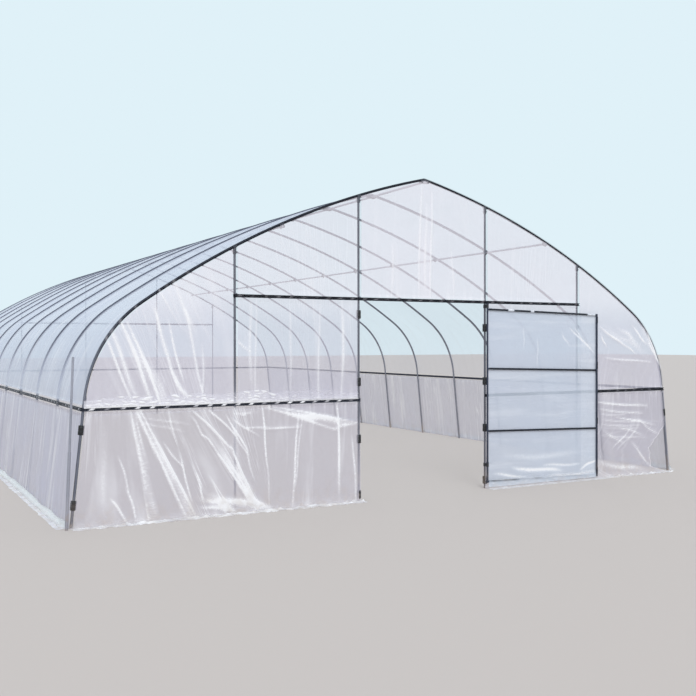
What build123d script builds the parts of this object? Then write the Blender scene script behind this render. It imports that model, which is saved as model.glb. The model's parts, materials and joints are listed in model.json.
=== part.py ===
from build123d import *
import os
from math import acos, cos, degrees, pi, radians, sin, tan

# Polytunnel greenhouse: twelve pointed steel hoops under one clear film, with a framed wall at each end.
# The front wall has a doorway between two posts, and its single leaf stands open against the wall.
# X runs across the tunnel, +Y along it to the rear, +Z up. The origin is on the ground, in the middle.

# Hoops, in millimetres, measured on the pipe's centreline
span = 7000.0                 # between the feet of a hoop
ridge_height = 3185.0         # ground to the ridge
leg_lean = 6.0                # degrees that a leg leans inwards
leg_length = 1060.0           # straight part of a leg
shoulder_radius = 1160.0
shoulder_turn = 49.0          # degrees of bend at the shoulder
hoop_count = 12
hoop_spacing = 1060.0
hoop_radius = 12.5            # 25 mm pipe

# Purlins under the hoops
purlin_radius = 11.0          # 22 mm pipe
side_purlin_x = 1590.0        # side purlins from the middle
purlin_overrun = 14.0         # past the end hoops' centrelines

# End walls
post_radius = 11.0
door_post_x = 765.0
outer_post_x = 2050.0
header_height = 1960.0        # rail over the doorway, from outer post to outer post
header_overrun = 20.0         # past the outer posts' centrelines
rail_height = 980.0           # film rails on all four sides

# Film rail, a channel that the spring wire presses the film into
rail_width = 30.0
rail_depth = 12.0
rail_wall = 2.0
rail_mouth = 16.0

# Film, thicker than the real sheet
film_thickness = 3.0
flap_width = 150.0            # film turned out along the ground

# Film missing low on the front right: in from the leg's foot, and up
torn_edge = ((73.0, 546.0), (329.0, 295.0), (291.0, 65.0), (66.0, 0.0))

# Clamps and clips
fit_gap = 0.3                 # between pieces that touch
clamp_wall = 3.5
cross_clamp_length = 44.0     # along the hoop
cross_clamp_wrap = 6.0        # above the hoop's centreline
ridge_clamp_length = 100.0    # across the tunnel
head_sleeve_length = 70.0
head_band_width = 40.0
clip_length = 80.0
clip_width = 38.0
clip_thickness = 5.0
left_post_clips = (1810.0, 1155.0, 600.0, 60.0)
right_post_clips = (1690.0, 1130.0, 640.0, 90.0)
left_leg_clips = (810.0, 190.0)
right_leg_clips = (700.0,)

# Door leaf, open and flat against the wall
leaf_radius = 10.0
leaf_overlap = 15.0           # wider than the doorway, centre to centre
leaf_header_gap = 74.0        # header to the leaf's top bar
leaf_lower_bars = (1262.0, 606.0, 75.0)
leaf_sag = 40.0               # drop of the leaf's free side
stile_overrun = 12.0          # past the top and bottom bars' centrelines
hinge_stile_overrun = 62.0    # of the hinge stile past the top bar
leaf_wall_gap = 7.0           # open leaf to the foremost part of the wall
leaf_film_start = 24.0        # the film's edge from the hinge line
leaf_film_low = 12.0          # the film's lower edge above the ground
leaf_clip_gap = 56.0          # top bar to the highest clip
leaf_lower_clips = (1320.0, 690.0, 125.0)
leaf_clip_length = 70.0
upper_hinge_rise = 30.0       # top bar to the upper hinge
lower_hinge_height = 250.0
hinge_length = 36.0
collar_height = 10.0
collar_radius = 14.0

# Guide pole for a roll-up crank, beside the front left leg
pole_radius = 10.0
pole_height = 1420.0
pole_from_foot = 48.0         # outside the hoop's foot
pole_from_hoop = 60.0         # in front of the front hoop
pole_lean = 2.3               # degrees towards the tunnel
pole_end_radius = 8.5         # narrowed end that stands in the sleeve
sleeve_radius = 13.5
sleeve_height = 640.0

# Distances out from the pipes' centrelines to the layers on them
film_inner = hoop_radius + fit_gap
film_outer = film_inner + film_thickness
clamp_reach = hoop_radius + fit_gap + clamp_wall
wall_inner = clamp_reach + fit_gap
wall_outer = wall_inner + film_thickness
rail_back = hoop_radius + fit_gap
clip_back = wall_outer + fit_gap
clip_front = clip_back + clip_thickness
wall_front = max(rail_back + rail_depth, clip_front)
leaf_offset = wall_front + leaf_wall_gap + film_thickness + fit_gap + leaf_radius
purlin_depth = hoop_radius + fit_gap + purlin_radius

# Places that follow from the sizes above
half_span = span / 2
half_length = (hoop_count - 1) * hoop_spacing / 2
shell_end = half_length + wall_inner - fit_gap
hinge_y = -half_length - leaf_offset
door_film_edge = door_post_x - post_radius
leaf_width = 2 * door_post_x + leaf_overlap
leaf_top = header_height - leaf_header_gap
leaf_bar_heights = (leaf_top,) + leaf_lower_bars
leaf_clip_heights = (leaf_top - leaf_clip_gap,) + leaf_lower_clips
hinge_heights = (leaf_top + upper_hinge_rise, lower_hinge_height)
pole_x = -half_span - pole_from_foot
torn_outline = [(half_span - inwards, height) for inwards, height in torn_edge]
film_break = rail_width / 2 + fit_gap
header_end = outer_post_x + header_overrun
reach = half_span + ridge_height
standing = (Align.CENTER, Align.CENTER, Align.MIN)

# A hoop's right half: a straight leg, the shoulder's bend, then the roof's arc up to the ridge
lean = radians(leg_lean)
up_leg = Vector(-sin(lean), cos(lean))
out_of_leg = Vector(cos(lean), sin(lean))
leg_foot = Vector(half_span, 0)
leg_top = leg_foot + up_leg * leg_length
rail_along_leg = rail_height / cos(lean)
shoulder_centre = leg_top - out_of_leg * shoulder_radius
roof_heading = lean + radians(shoulder_turn)
roof_outwards = Vector(cos(roof_heading), sin(roof_heading))
roof_start = shoulder_centre + roof_outwards * shoulder_radius
to_ridge = Vector(0, ridge_height) - roof_start
roof_radius = -to_ridge.dot(to_ridge) / (2 * to_ridge.dot(roof_outwards))
roof_centre = roof_start - roof_outwards * roof_radius
ridge_heading = acos(-roof_centre.X / roof_radius)
roof_turn = degrees(ridge_heading - roof_heading)
ridge_slope = pi / 2 - ridge_heading
ridge_purlin_z = ridge_height - purlin_depth / cos(ridge_slope)


def half_arch(offset, start):
    """Right half of a hoop's line, pushed out by offset, from start along the leg to past the ridge."""
    low = leg_foot + up_leg * start + out_of_leg * offset
    knee = leg_top + out_of_leg * offset
    leg = Line(low, knee)
    shoulder = JernArc(knee, up_leg, shoulder_radius + offset, shoulder_turn)
    roof = JernArc(shoulder @ 1, shoulder % 1, roof_radius + offset, roof_turn + 1)
    return [leg.edge(), shoulder.edge(), roof.edge()]


def leg_point(offset, along):
    return leg_foot + up_leg * along + out_of_leg * offset


def at_ground(offset):
    """Point on the ground of the leg's line pushed out by offset."""
    return Vector(half_span + offset / cos(lean), 0)


def roof_frame(x, y):
    """Place on the roof's arc: local X runs along the hoop, local Z outwards."""
    heading = acos((abs(x) - roof_centre.X) / roof_radius)
    side = -1 if x < 0 else 1
    height = roof_centre.Y + roof_radius * sin(heading)
    along = Vector(sin(heading), 0, -side * cos(heading))
    return Plane(Vector(x, y, height), x_dir=along, z_dir=Vector(side * cos(heading), 0, sin(heading)))


def upright(flat):
    """Stands a flat shape up in the XZ plane."""
    return Plane.XZ * flat


def mirrored(shape):
    return mirror(shape, about=Plane.YZ)


def to_rear(shape):
    return mirror(shape, about=Plane.XZ)


def rod(start, end, radius):
    line = Line(start, end)
    return extrude(Plane(line @ 0, z_dir=line % 0) * Circle(radius), line.length)


def write(name, *solids):
    shape = Compound(children=list(solids)) if len(solids) > 1 else solids[0]
    export_step(shape, f"parts/{name}.step")


right_side = Pos(reach / 2, 0, reach / 2) * Box(reach, 4 * reach, reach)


# Hoops: two bent pipes each, which meet at the ridge
def hoop_half():
    path = upright(Wire(half_arch(0, -2 * hoop_radius * tan(lean))))
    pipe = sweep(Plane(path @ 0, z_dir=path % 0) * Circle(hoop_radius), path=path)
    return pipe & right_side


# Film on the roof and the sides
def roof_film():
    start = rail_along_leg + film_break
    outer = half_arch(film_outer, start)
    inner = half_arch(film_inner, start)
    low_edge = Line(outer[0] @ 0, inner[0] @ 0).edge()
    ridge_edge = Line(outer[-1] @ 1, inner[-1] @ 1).edge()
    section = make_face(outer + inner + [low_edge, ridge_edge])
    return extrude(upright(section), shell_end, both=True) & right_side


def side_film():
    """Film from the side rail down to the ground."""
    top = rail_along_leg - film_break
    outline = Polyline(
        leg_point(film_inner, top),
        leg_point(film_outer, top),
        at_ground(film_outer),
        at_ground(film_inner),
        close=True,
    )
    return extrude(upright(make_face(outline)), shell_end, both=True)


def side_flap():
    """Film turned out along the ground beside the right side."""
    foot = at_ground(film_outer)
    outline = Polyline(
        foot,
        foot + Vector(-film_thickness * tan(lean), film_thickness),
        foot + Vector(flap_width, film_thickness),
        foot + Vector(flap_width, 0),
        close=True,
    )
    return extrude(upright(make_face(outline)), shell_end, both=True)


# Film on the end walls, drawn for the front
def half_gable():
    """Right half of an end wall's outline, out to the roof film's outer face."""
    arch = half_arch(film_outer, 0)
    low = arch[0] @ 0
    peak = arch[-1] @ 1
    base = Polyline(low, at_ground(film_outer), (peak.X, 0), peak)
    whole = make_face(arch + list(base.edges()))
    return whole & Rectangle(2 * reach, 4 * reach, align=(Align.MIN, Align.CENTER))


def window(left, right, low, high):
    return Pos(left, low) * Rectangle(right - left, high - low, align=(Align.MIN, Align.MIN))


def wall_film(outline):
    return Pos(0, -half_length - wall_inner, 0) * extrude(upright(outline), film_thickness)


def front_flap(left, right):
    place = Pos(left, -half_length - wall_outer - flap_width, 0)
    return place * Box(right - left, flap_width, film_thickness, align=(Align.MIN,) * 3)


def torn_corner():
    """Outline of the film missing beside the front right leg."""
    outside = half_span + flap_width
    above = (outside, torn_outline[0][1])
    below = (outside, torn_outline[-1][1])
    return make_face(Polyline(above, *torn_outline, below, close=True))


def pole_hole():
    place = Pos(pole_x, -half_length - pole_from_hoop, 0)
    return place * Cylinder(sleeve_radius + fit_gap, 4 * film_thickness)


def header_slot():
    """Room in the wall's film for the rail over the doorway."""
    place = Pos(0, -half_length - wall_outer, header_height)
    return place * Box(2 * (header_end + fit_gap), 4 * film_thickness, 2 * film_break)


def hinge_notch(height):
    """Room in the wall's film for a hinge's web."""
    width = post_radius + clamp_wall + fit_gap
    place = Pos(door_film_edge + width / 2, -half_length - wall_outer, height)
    return place * Box(width, 4 * film_thickness, hinge_length + 2 * fit_gap)


# Posts of the end walls
def post(x):
    """A post from the ground up to the hoop's underside."""
    under_hoop = roof_frame(x, -half_length) * Pos(0, 0, -hoop_radius - fit_gap)
    pipe = Pos(x, -half_length, 0) * Cylinder(post_radius, ridge_height, align=standing)
    return pipe - under_hoop * Box(ridge_height, ridge_height, ridge_height, align=standing)


def post_head(x):
    """Tee clamp: a band under the hoop, over a sleeve round the post's top."""
    at_hoop = roof_frame(x, -half_length)
    along_hoop = at_hoop * Rot(0, 90, 0)
    low = Pos(x, -half_length, at_hoop.origin.Z - head_sleeve_length)
    band = along_hoop * Cylinder(clamp_reach, head_band_width)
    sleeve = low * Cylinder(clamp_reach, head_sleeve_length, align=standing)
    hoop_hole = along_hoop * Cylinder(hoop_radius + fit_gap, 3 * head_sleeve_length)
    post_hole = low * Cylinder(post_radius + fit_gap, head_sleeve_length, align=standing)
    over_hoop = at_hoop * Pos(0, 0, cross_clamp_wrap) * Box(*(3 * head_sleeve_length,) * 3, align=standing)
    return band + sleeve - hoop_hole - post_hole - over_hoop


# Film rails
def rail_section():
    """Channel open to the outside: local X across the rail, local Y out of the wall."""
    outside = Pos(0, rail_depth / 2) * Rectangle(rail_width, rail_depth)
    hollow = Pos(0, rail_depth / 2) * Rectangle(rail_width - 2 * rail_wall, rail_depth - 2 * rail_wall)
    mouth = Pos(0, rail_depth) * Rectangle(rail_mouth, 3 * rail_wall)
    return outside - hollow - mouth


def wall_rail(left, right, height):
    section_plane = Plane((left, -half_length - rail_back, height), x_dir=(0, 0, 1), z_dir=(1, 0, 0))
    return extrude(section_plane * rail_section(), right - left)


def side_rail():
    centre = leg_point(rail_back, rail_along_leg)
    start = (centre.X, half_length + hoop_radius, centre.Y)
    section_plane = Plane(start, x_dir=(-up_leg.X, 0, -up_leg.Y), z_dir=(0, -1, 0))
    return extrude(section_plane * rail_section(), 2 * (half_length + hoop_radius))


# Clamps where the purlins cross the hoops
def cross_clamp(x, y):
    at_hoop = roof_frame(x, y)
    below = purlin_depth + purlin_radius + clamp_wall
    height = below + cross_clamp_wrap
    block = at_hoop * Pos(0, 0, -below) * Box(cross_clamp_length, 2 * clamp_reach, height, align=standing)
    hoop_hole = at_hoop * Rot(0, 90, 0) * Cylinder(hoop_radius + fit_gap, 2 * cross_clamp_length)
    along_purlin = at_hoop * Pos(0, 0, -purlin_depth) * Rot(90, 0, 0)
    return block - hoop_hole - along_purlin * Cylinder(purlin_radius + fit_gap, 4 * clamp_reach)


def ridge_clamp(y):
    """Saddle that joins a hoop's two pipes and carries the ridge purlin."""
    at_purlin = Pos(0, y, ridge_purlin_z)
    bottom = at_purlin * Pos(0, 0, -purlin_radius - clamp_wall)
    block = bottom * Box(ridge_clamp_length, 2 * clamp_reach, 4 * clamp_reach, align=standing)
    purlin_hole = at_purlin * Rot(90, 0, 0) * Cylinder(purlin_radius + fit_gap, 4 * clamp_reach)
    right_pipe = Pos(0, y, ridge_height) * Rot(0, degrees(ridge_slope), 0)
    pipe_hole = right_pipe * Rot(0, 90, 0) * Cylinder(hoop_radius + fit_gap, 2 * ridge_clamp_length)
    over_size = (2 * ridge_clamp_length,) * 3
    over_pipe = right_pipe * Pos(0, 0, cross_clamp_wrap) * Box(*over_size, align=standing)
    cut_right = pipe_hole + over_pipe
    return block - purlin_hole - cut_right - mirrored(cut_right)


# Film clips
def post_clip(x, height, door_side):
    """Clip over the film's edge at a door post, with an arm back past the post beside the doorway."""
    arm_start = post_radius + 2 * fit_gap
    arm_width = clip_width / 2 - arm_start
    arm_place = Pos(arm_start + arm_width / 2, (post_radius - clip_front) / 2)
    front = Pos(0, -clip_back - clip_thickness / 2) * Rectangle(clip_width, clip_thickness)
    outline = front + arm_place * Rectangle(arm_width, post_radius + clip_front)
    if door_side < 0:
        outline = mirrored(outline)
    return Pos(x, -half_length, height - clip_length / 2) * extrude(outline, clip_length)


def leg_clip(height):
    """Clip over the film on the front right leg."""
    x = half_span - height * tan(lean)
    place = Pos(x, -half_length - clip_back - clip_thickness / 2, height) * Rot(0, -leg_lean, 0)
    return place * Box(clip_width, clip_thickness, clip_length)


# Door leaf
def door_frame():
    free_x = door_post_x + leaf_width
    hinge_top = leaf_bar_heights[0] + hinge_stile_overrun
    free_top = leaf_bar_heights[0] + stile_overrun - leaf_sag
    bottom = leaf_bar_heights[-1] - stile_overrun
    frame = rod((door_post_x, hinge_y, bottom), (door_post_x, hinge_y, hinge_top), leaf_radius)
    frame += rod((free_x, hinge_y, bottom - leaf_sag), (free_x, hinge_y, free_top), leaf_radius)
    for height in leaf_bar_heights:
        frame += rod((door_post_x, hinge_y, height), (free_x, hinge_y, height - leaf_sag), leaf_radius)
    for height in hinge_heights:
        above_hinge = Pos(door_post_x, hinge_y, height + hinge_length / 2 + fit_gap)
        frame += above_hinge * Cylinder(collar_radius, collar_height, align=standing)
    return frame


def door_film():
    """Film on the leaf's wall side, from beside the hinges to the free stile and down to the ground."""
    left = leaf_film_start
    right = leaf_width + leaf_radius
    slope = leaf_sag / leaf_width
    high = leaf_bar_heights[0] + leaf_radius
    outline = Polyline(
        (left, leaf_film_low),
        (right, leaf_film_low),
        (right, high - right * slope),
        (left, high - left * slope),
        close=True,
    )
    place = Pos(door_post_x, hinge_y + leaf_radius + fit_gap + film_thickness, 0)
    return place * extrude(upright(make_face(outline)), film_thickness)


def leaf_clip(height):
    """Half ring round the free stile's outer side, up to the film."""
    place = Pos(door_post_x + leaf_width, hinge_y, height - leaf_sag)
    ring = Cylinder(leaf_radius + fit_gap + clamp_wall, leaf_clip_length)
    hole = Cylinder(leaf_radius + fit_gap, leaf_clip_length)
    film_side = Pos(0, 2 * leaf_radius, 0) * Box(8 * leaf_radius, 2 * leaf_radius, leaf_clip_length)
    inner_side = Pos(-leaf_radius, 0, 0) * Box(2 * leaf_radius, 8 * leaf_radius, leaf_clip_length)
    return place * (ring - hole - film_side - inner_side)


def hinge(height):
    """Clamp that grips the post and lets the leaf's stile turn in its other ring."""
    at_post = Pos(door_post_x, -half_length, height)
    at_stile = Pos(door_post_x, hinge_y, height)
    grip = at_post * Cylinder(clamp_reach, hinge_length)
    ring = at_stile * Cylinder(leaf_radius + fit_gap + clamp_wall, hinge_length)
    web = at_post * Pos(0, -leaf_offset / 2, 0) * Box(2 * clamp_wall, leaf_offset, hinge_length)
    post_hole = at_post * Cylinder(post_radius + fit_gap, hinge_length)
    stile_hole = at_stile * Cylinder(leaf_radius + fit_gap, hinge_length)
    return grip + ring + web - post_hole - stile_hole


# Guide pole and the sleeve that holds it
def leaning_rod(radius, low, high):
    """Rod on the guide pole's leaning line, between two heights."""
    shift = tan(radians(pole_lean))
    y = -half_length - pole_from_hoop
    return rod((pole_x + low * shift, y, low), (pole_x + high * shift, y, high), radius)


def below_ground():
    depth = 4 * sleeve_radius
    return Pos(pole_x, -half_length - pole_from_hoop, -depth / 2) * Box(2 * depth, 2 * depth, depth)


def guide_pole():
    """Pole whose narrowed end goes down through the sleeve."""
    narrow_end = leaning_rod(pole_end_radius, -sleeve_radius, sleeve_height + sleeve_radius)
    return leaning_rod(pole_radius, sleeve_height + fit_gap, pole_height) + narrow_end - below_ground()


def pole_sleeve():
    hole = leaning_rod(pole_end_radius + fit_gap, -2 * sleeve_radius, sleeve_height + sleeve_radius)
    return leaning_rod(sleeve_radius, -sleeve_radius, sleeve_height) - hole - below_ground()


def write_hoops_and_purlins():
    half = hoop_half()
    other_half = mirrored(half)
    side_clamps = []
    ridge_clamps = []
    for number in range(hoop_count):
        y = number * hoop_spacing - half_length
        write(f"hoop_{number + 1:02d}", Pos(0, y, 0) * half, Pos(0, y, 0) * other_half)
        side_clamps += [cross_clamp(-side_purlin_x, y), cross_clamp(side_purlin_x, y)]
        ridge_clamps.append(ridge_clamp(y))
    write("purlin_clamps", *side_clamps)
    write("ridge_clamps", *ridge_clamps)

    end = half_length + purlin_overrun
    centre = (roof_frame(side_purlin_x, 0) * Pos(0, 0, -purlin_depth)).position
    side_purlin = rod((centre.X, -end, centre.Z), (centre.X, end, centre.Z), purlin_radius)
    write("right_purlin", side_purlin)
    write("left_purlin", mirrored(side_purlin))
    write("ridge_purlin", rod((0, -end, ridge_purlin_z), (0, end, ridge_purlin_z), purlin_radius))


def write_end_frames():
    door_post = post(door_post_x)
    outer_post = post(outer_post_x)
    heads = [post_head(x) for x in (-outer_post_x, -door_post_x, door_post_x, outer_post_x)]
    write("front_door_post_right", door_post)
    write("front_door_post_left", mirrored(door_post))
    write("front_outer_posts", outer_post, mirrored(outer_post))
    write("front_post_clamps", *heads)
    rear_poles = [door_post, mirrored(door_post), outer_post, mirrored(outer_post)]
    write("rear_posts", *[to_rear(pole) for pole in rear_poles])
    write("rear_post_clamps", *[to_rear(head) for head in heads])


def write_rails():
    rail = side_rail()
    write("right_side_rail", rail)
    write("left_side_rail", mirrored(rail))
    rail_end = half_span - rail_height * tan(lean) + hoop_radius
    front_rail = wall_rail(door_film_edge, rail_end, rail_height)
    header = wall_rail(-header_end, header_end, header_height)
    write("front_rail_right", front_rail)
    write("front_rail_left", mirrored(front_rail))
    write("rear_rail", to_rear(wall_rail(-rail_end, rail_end, rail_height)))
    write("front_header_rail", header)
    write("rear_header_rail", to_rear(header))


def write_films():
    roof = roof_film()
    write("roof_film_right", roof)
    write("roof_film_left", mirrored(roof))
    skirt = side_film()
    write("side_film_right", skirt)
    write("side_film_left", mirrored(skirt))
    flap = side_flap()

    gable = half_gable()
    whole_gable = gable + mirrored(gable)
    corner = at_ground(film_outer).X + flap_width
    top_edge = door_film_edge - fit_gap
    above_rail = rail_height + film_break
    below_rail = rail_height - film_break
    upper = wall_film(gable & window(door_film_edge, reach, above_rail, reach)) - header_slot()
    low_outline = gable & window(door_film_edge, reach, 0, below_rail)
    right_upper = upper - hinge_notch(hinge_heights[0])
    right_lower = wall_film(low_outline - torn_corner()) - hinge_notch(hinge_heights[1])
    over_doorway = whole_gable & window(-top_edge, top_edge, header_height + film_break, reach)
    write("front_film_left", mirrored(upper), mirrored(wall_film(low_outline)))
    write("front_film_right", right_upper, right_lower)
    write("front_film_top", wall_film(over_doorway))
    rear_lower = wall_film(whole_gable & window(-reach, reach, 0, below_rail))
    rear_upper = wall_film(whole_gable & window(-reach, reach, above_rail, reach)) - header_slot()
    write("rear_film", to_rear(rear_lower), to_rear(rear_upper))
    front_left_flap = front_flap(-corner, -door_film_edge) - pole_hole()
    front_right_flap = front_flap(door_film_edge, torn_outline[2][0])
    rear_flap = to_rear(front_flap(-corner, corner))
    write("ground_flaps", flap, mirrored(flap), rear_flap, front_left_flap, front_right_flap)


def write_clips_and_door():
    clips = [post_clip(-door_post_x, height, 1) for height in left_post_clips]
    clips += [post_clip(door_post_x, height, -1) for height in right_post_clips]
    clips += [mirrored(leg_clip(height)) for height in left_leg_clips]
    clips += [leg_clip(height) for height in right_leg_clips]
    write("film_clips", *clips)
    write("door_frame", door_frame())
    write("door_film", door_film())
    write("door_clips", *[leaf_clip(height) for height in leaf_clip_heights])
    write("door_hinges", *[hinge(height) for height in hinge_heights])


os.makedirs("parts", exist_ok=True)
write_hoops_and_purlins()
write_end_frames()
write_rails()
write_films()
write_clips_and_door()
write("guide_pole", guide_pole())
write("guide_pole_sleeve", pole_sleeve())
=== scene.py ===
import json
from math import acos, cos, pi, radians, sin, tan
from random import Random

import bmesh
import bpy
import numpy as np
from mathutils import Matrix, Vector


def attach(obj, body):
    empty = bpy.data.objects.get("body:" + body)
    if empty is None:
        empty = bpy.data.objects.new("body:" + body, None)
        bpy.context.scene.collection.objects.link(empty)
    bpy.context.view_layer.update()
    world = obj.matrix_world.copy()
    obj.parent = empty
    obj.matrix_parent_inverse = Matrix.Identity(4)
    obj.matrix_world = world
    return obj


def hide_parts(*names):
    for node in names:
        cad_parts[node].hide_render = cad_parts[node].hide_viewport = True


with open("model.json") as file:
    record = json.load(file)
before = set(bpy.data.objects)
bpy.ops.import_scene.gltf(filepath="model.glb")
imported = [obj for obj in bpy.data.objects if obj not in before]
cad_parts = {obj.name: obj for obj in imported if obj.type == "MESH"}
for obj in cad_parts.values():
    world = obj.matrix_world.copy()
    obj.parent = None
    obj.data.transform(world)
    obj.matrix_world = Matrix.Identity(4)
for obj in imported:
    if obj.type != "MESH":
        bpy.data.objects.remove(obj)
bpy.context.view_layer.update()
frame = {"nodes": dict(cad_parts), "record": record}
nodes = frame["nodes"]
scene = bpy.context.scene
scene.view_settings.view_transform = "Standard"
scene.cycles.transparent_max_bounces = 40  # a line of sight along the tunnel passes many films

# Camera, low at the front left corner and turned towards the doorway
camera_data = bpy.data.cameras.new("camera")
camera_data.lens = 46.555
camera_data.sensor_width = 36.0
camera_data.clip_end = 300.0
camera = bpy.data.objects.new("camera", camera_data)
camera.location = (-5.078, -13.447, 1.525)
camera.rotation_euler = (radians(89.73), radians(0.08), radians(-28.85))
scene.collection.objects.link(camera)
scene.camera = camera

# Sizes in metres, to the centrelines of the pipes
HALF_SPAN = 3.5
RIDGE = 3.185
LEAN = radians(6.0)  # of a hoop's legs, inwards
LEG = 1.06  # straight part of a leg
SHOULDER_RADIUS = 1.16
SHOULDER_TURN = radians(49.0)
HALF_LENGTH = 5.83
BAY = 1.06  # from hoop to hoop
HOOPS = 12
HOOP_PLACES = [number * BAY - HALF_LENGTH for number in range(HOOPS)]
RAIL_HEIGHT = 0.98
HEADER_HEIGHT = 1.96
HEADER_END = 2.07
DOOR_POST = 0.765
DOOR_EDGE = 0.754  # where the wall's film ends beside the doorway
OUTER_POST = 2.05
SIDE_PURLIN = 1.59
HINGE_Y = -5.8752
LEAF_WIDTH = 1.545
LEAF_TOP = 1.886
LEAF_SAG = 0.04  # at the free side
LEAF_RADIUS = 0.010

# How far out of those lines the film and the fronts of the rails stand
ROOF_FILM = 0.0143
WALL_FILM = 0.0181
RAIL_FRONT = 0.0248
MOUTH = 0.0125  # up or down from a rail's line to where the film leaves it
MOUTH_GAP = 0.0095  # half the gap that the film is pressed into
FLAP = 0.15  # film that lies on the ground before an end wall


# The hoops' line, from the rail's height to the ridge
def arch_line(offset):
    """Evenly spaced points up the right half of a hoop, pushed out by offset, with their outward directions
    and how far along they lie."""
    out = np.array([cos(LEAN), sin(LEAN)])
    up = np.array([-sin(LEAN), cos(LEAN)])
    foot = np.array([HALF_SPAN, 0.0])
    top = foot + up * LEG
    centre = top - out * SHOULDER_RADIUS
    heading = LEAN + SHOULDER_TURN
    start = centre + SHOULDER_RADIUS * np.array([cos(heading), sin(heading)])
    to_ridge = np.array([0.0, RIDGE]) - start
    towards = -np.array([cos(heading), sin(heading)])
    radius = to_ridge @ to_ridge / (2 * to_ridge @ towards)
    roof_centre = start + towards * radius
    ridge_heading = acos(-roof_centre[0] / radius)
    leg = np.linspace(RAIL_HEIGHT / cos(LEAN), LEG, 60)[:, None]
    turns = np.linspace(LEAN, heading, 240)[1:]
    rises = np.linspace(heading, ridge_heading, 500)[1:]
    points = [foot + leg * up]
    points.append(centre + SHOULDER_RADIUS * np.c_[np.cos(turns), np.sin(turns)])
    points.append(roof_centre + radius * np.c_[np.cos(rises), np.sin(rises)])
    headings = np.concatenate([np.full(len(leg), LEAN), turns, rises])
    places = np.concatenate(points)
    lengths = np.concatenate([[0.0], np.cumsum(np.linalg.norm(np.diff(places, axis=0), axis=1))])
    even = np.linspace(0.0, lengths[-1], 600)
    heading = np.interp(even, lengths, headings)
    outwards = np.c_[np.cos(heading), np.sin(heading)]
    x = np.interp(even, lengths, places[:, 0])
    z = np.interp(even, lengths, places[:, 1])
    return np.c_[x, z] + offset * outwards, outwards, even


def leg_x(height, offset=0.0):
    return HALF_SPAN - height * tan(LEAN) + offset / cos(LEAN)


# Node helpers
def socket_kind(label):
    return "NodeSocketColor" if label == "Colour" else "NodeSocketFloat"


def make_group(name, inputs, outputs):
    """A node group from its inputs' names and first values, and its outputs' names."""
    group = bpy.data.node_groups.new(name, "ShaderNodeTree")
    for label, value in inputs.items():
        socket = group.interface.new_socket(label, in_out="INPUT", socket_type=socket_kind(label))
        socket.default_value = value
    for label in outputs:
        group.interface.new_socket(label, in_out="OUTPUT", socket_type=socket_kind(label))
    return group, group.nodes.new("NodeGroupInput"), group.nodes.new("NodeGroupOutput")


def set_socket(tree, socket, value):
    """Links what another node puts out to a socket, or sets a plain value on it."""
    if isinstance(value, bpy.types.NodeSocket):
        tree.links.new(value, socket)
    else:
        socket.default_value = value


def feed(tree, node, **values):
    for label, value in values.items():
        set_socket(tree, node.inputs[label.replace("_", " ")], value)
    return node


def add_node(tree, kind, **values):
    return feed(tree, tree.nodes.new(f"ShaderNode{kind}"), **values)


def add_group(tree, group, **values):
    node = tree.nodes.new("ShaderNodeGroup")
    node.node_tree = group
    return feed(tree, node, **values)


def math_node(tree, operation, first, second=0.5, clamp=False):
    node = tree.nodes.new("ShaderNodeMath")
    node.operation = operation
    node.use_clamp = clamp
    set_socket(tree, node.inputs[0], first)
    set_socket(tree, node.inputs[1], second)
    return node.outputs[0]


def times(tree, first, second, clamp=False):
    return math_node(tree, "MULTIPLY", first, second, clamp)


def plus(tree, first, second, clamp=False):
    return math_node(tree, "ADD", first, second, clamp)


def minus(tree, first, second, clamp=False):
    return math_node(tree, "SUBTRACT", first, second, clamp)


def mix_colour(tree, factor, first, second):
    node = tree.nodes.new("ShaderNodeMix")
    node.data_type = "RGBA"
    for socket, value in ((node.inputs[0], factor), (node.inputs[6], first), (node.inputs[7], second)):
        set_socket(tree, socket, (*value, 1) if isinstance(value, tuple) else value)
    return node.outputs[2]


def noise(tree, vector, scale, detail=3.0, rough=0.55, distortion=0.0):
    node = add_node(tree, "TexNoise", Vector=vector, Scale=scale, Detail=detail, Distortion=distortion)
    return feed(tree, node, Roughness=rough).outputs[0]


def ramp(tree, value, low, high):
    """Rises from 0 at low to 1 at high."""
    node = add_node(tree, "MapRange", Value=value, From_Min=low, From_Max=high)
    node.interpolation_type = "SMOOTHSTEP"
    return node.outputs[0]


def object_place(tree):
    return add_node(tree, "TexCoord").outputs["Object"]


def stretched(tree, vector, scale):
    return add_node(tree, "Mapping", Vector=vector, Scale=scale).outputs[0]


def place_along(tree, direction):
    """A point's place along X, Y or Z, of which Z is its height above the ground."""
    return add_node(tree, "SeparateXYZ", Vector=object_place(tree)).outputs[direction]


# Shared effects
def build_soil_dust():
    """Dry soil that clings low down: a mask, from a reach in metres."""
    group, start, end = make_group("soil_dust", {"Reach": 0.3, "Amount": 0.6}, ["Mask"])
    height = math_node(group, "DIVIDE", place_along(group, "Z"), start.outputs["Reach"])
    low = minus(group, 1.0, height, True)
    patches = ramp(group, noise(group, object_place(group), 9.0, 5.0, 0.6, 0.4), 0.38, 0.68)
    feed(group, end, Mask=times(group, times(group, low, patches), start.outputs["Amount"], True))
    return group


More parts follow.
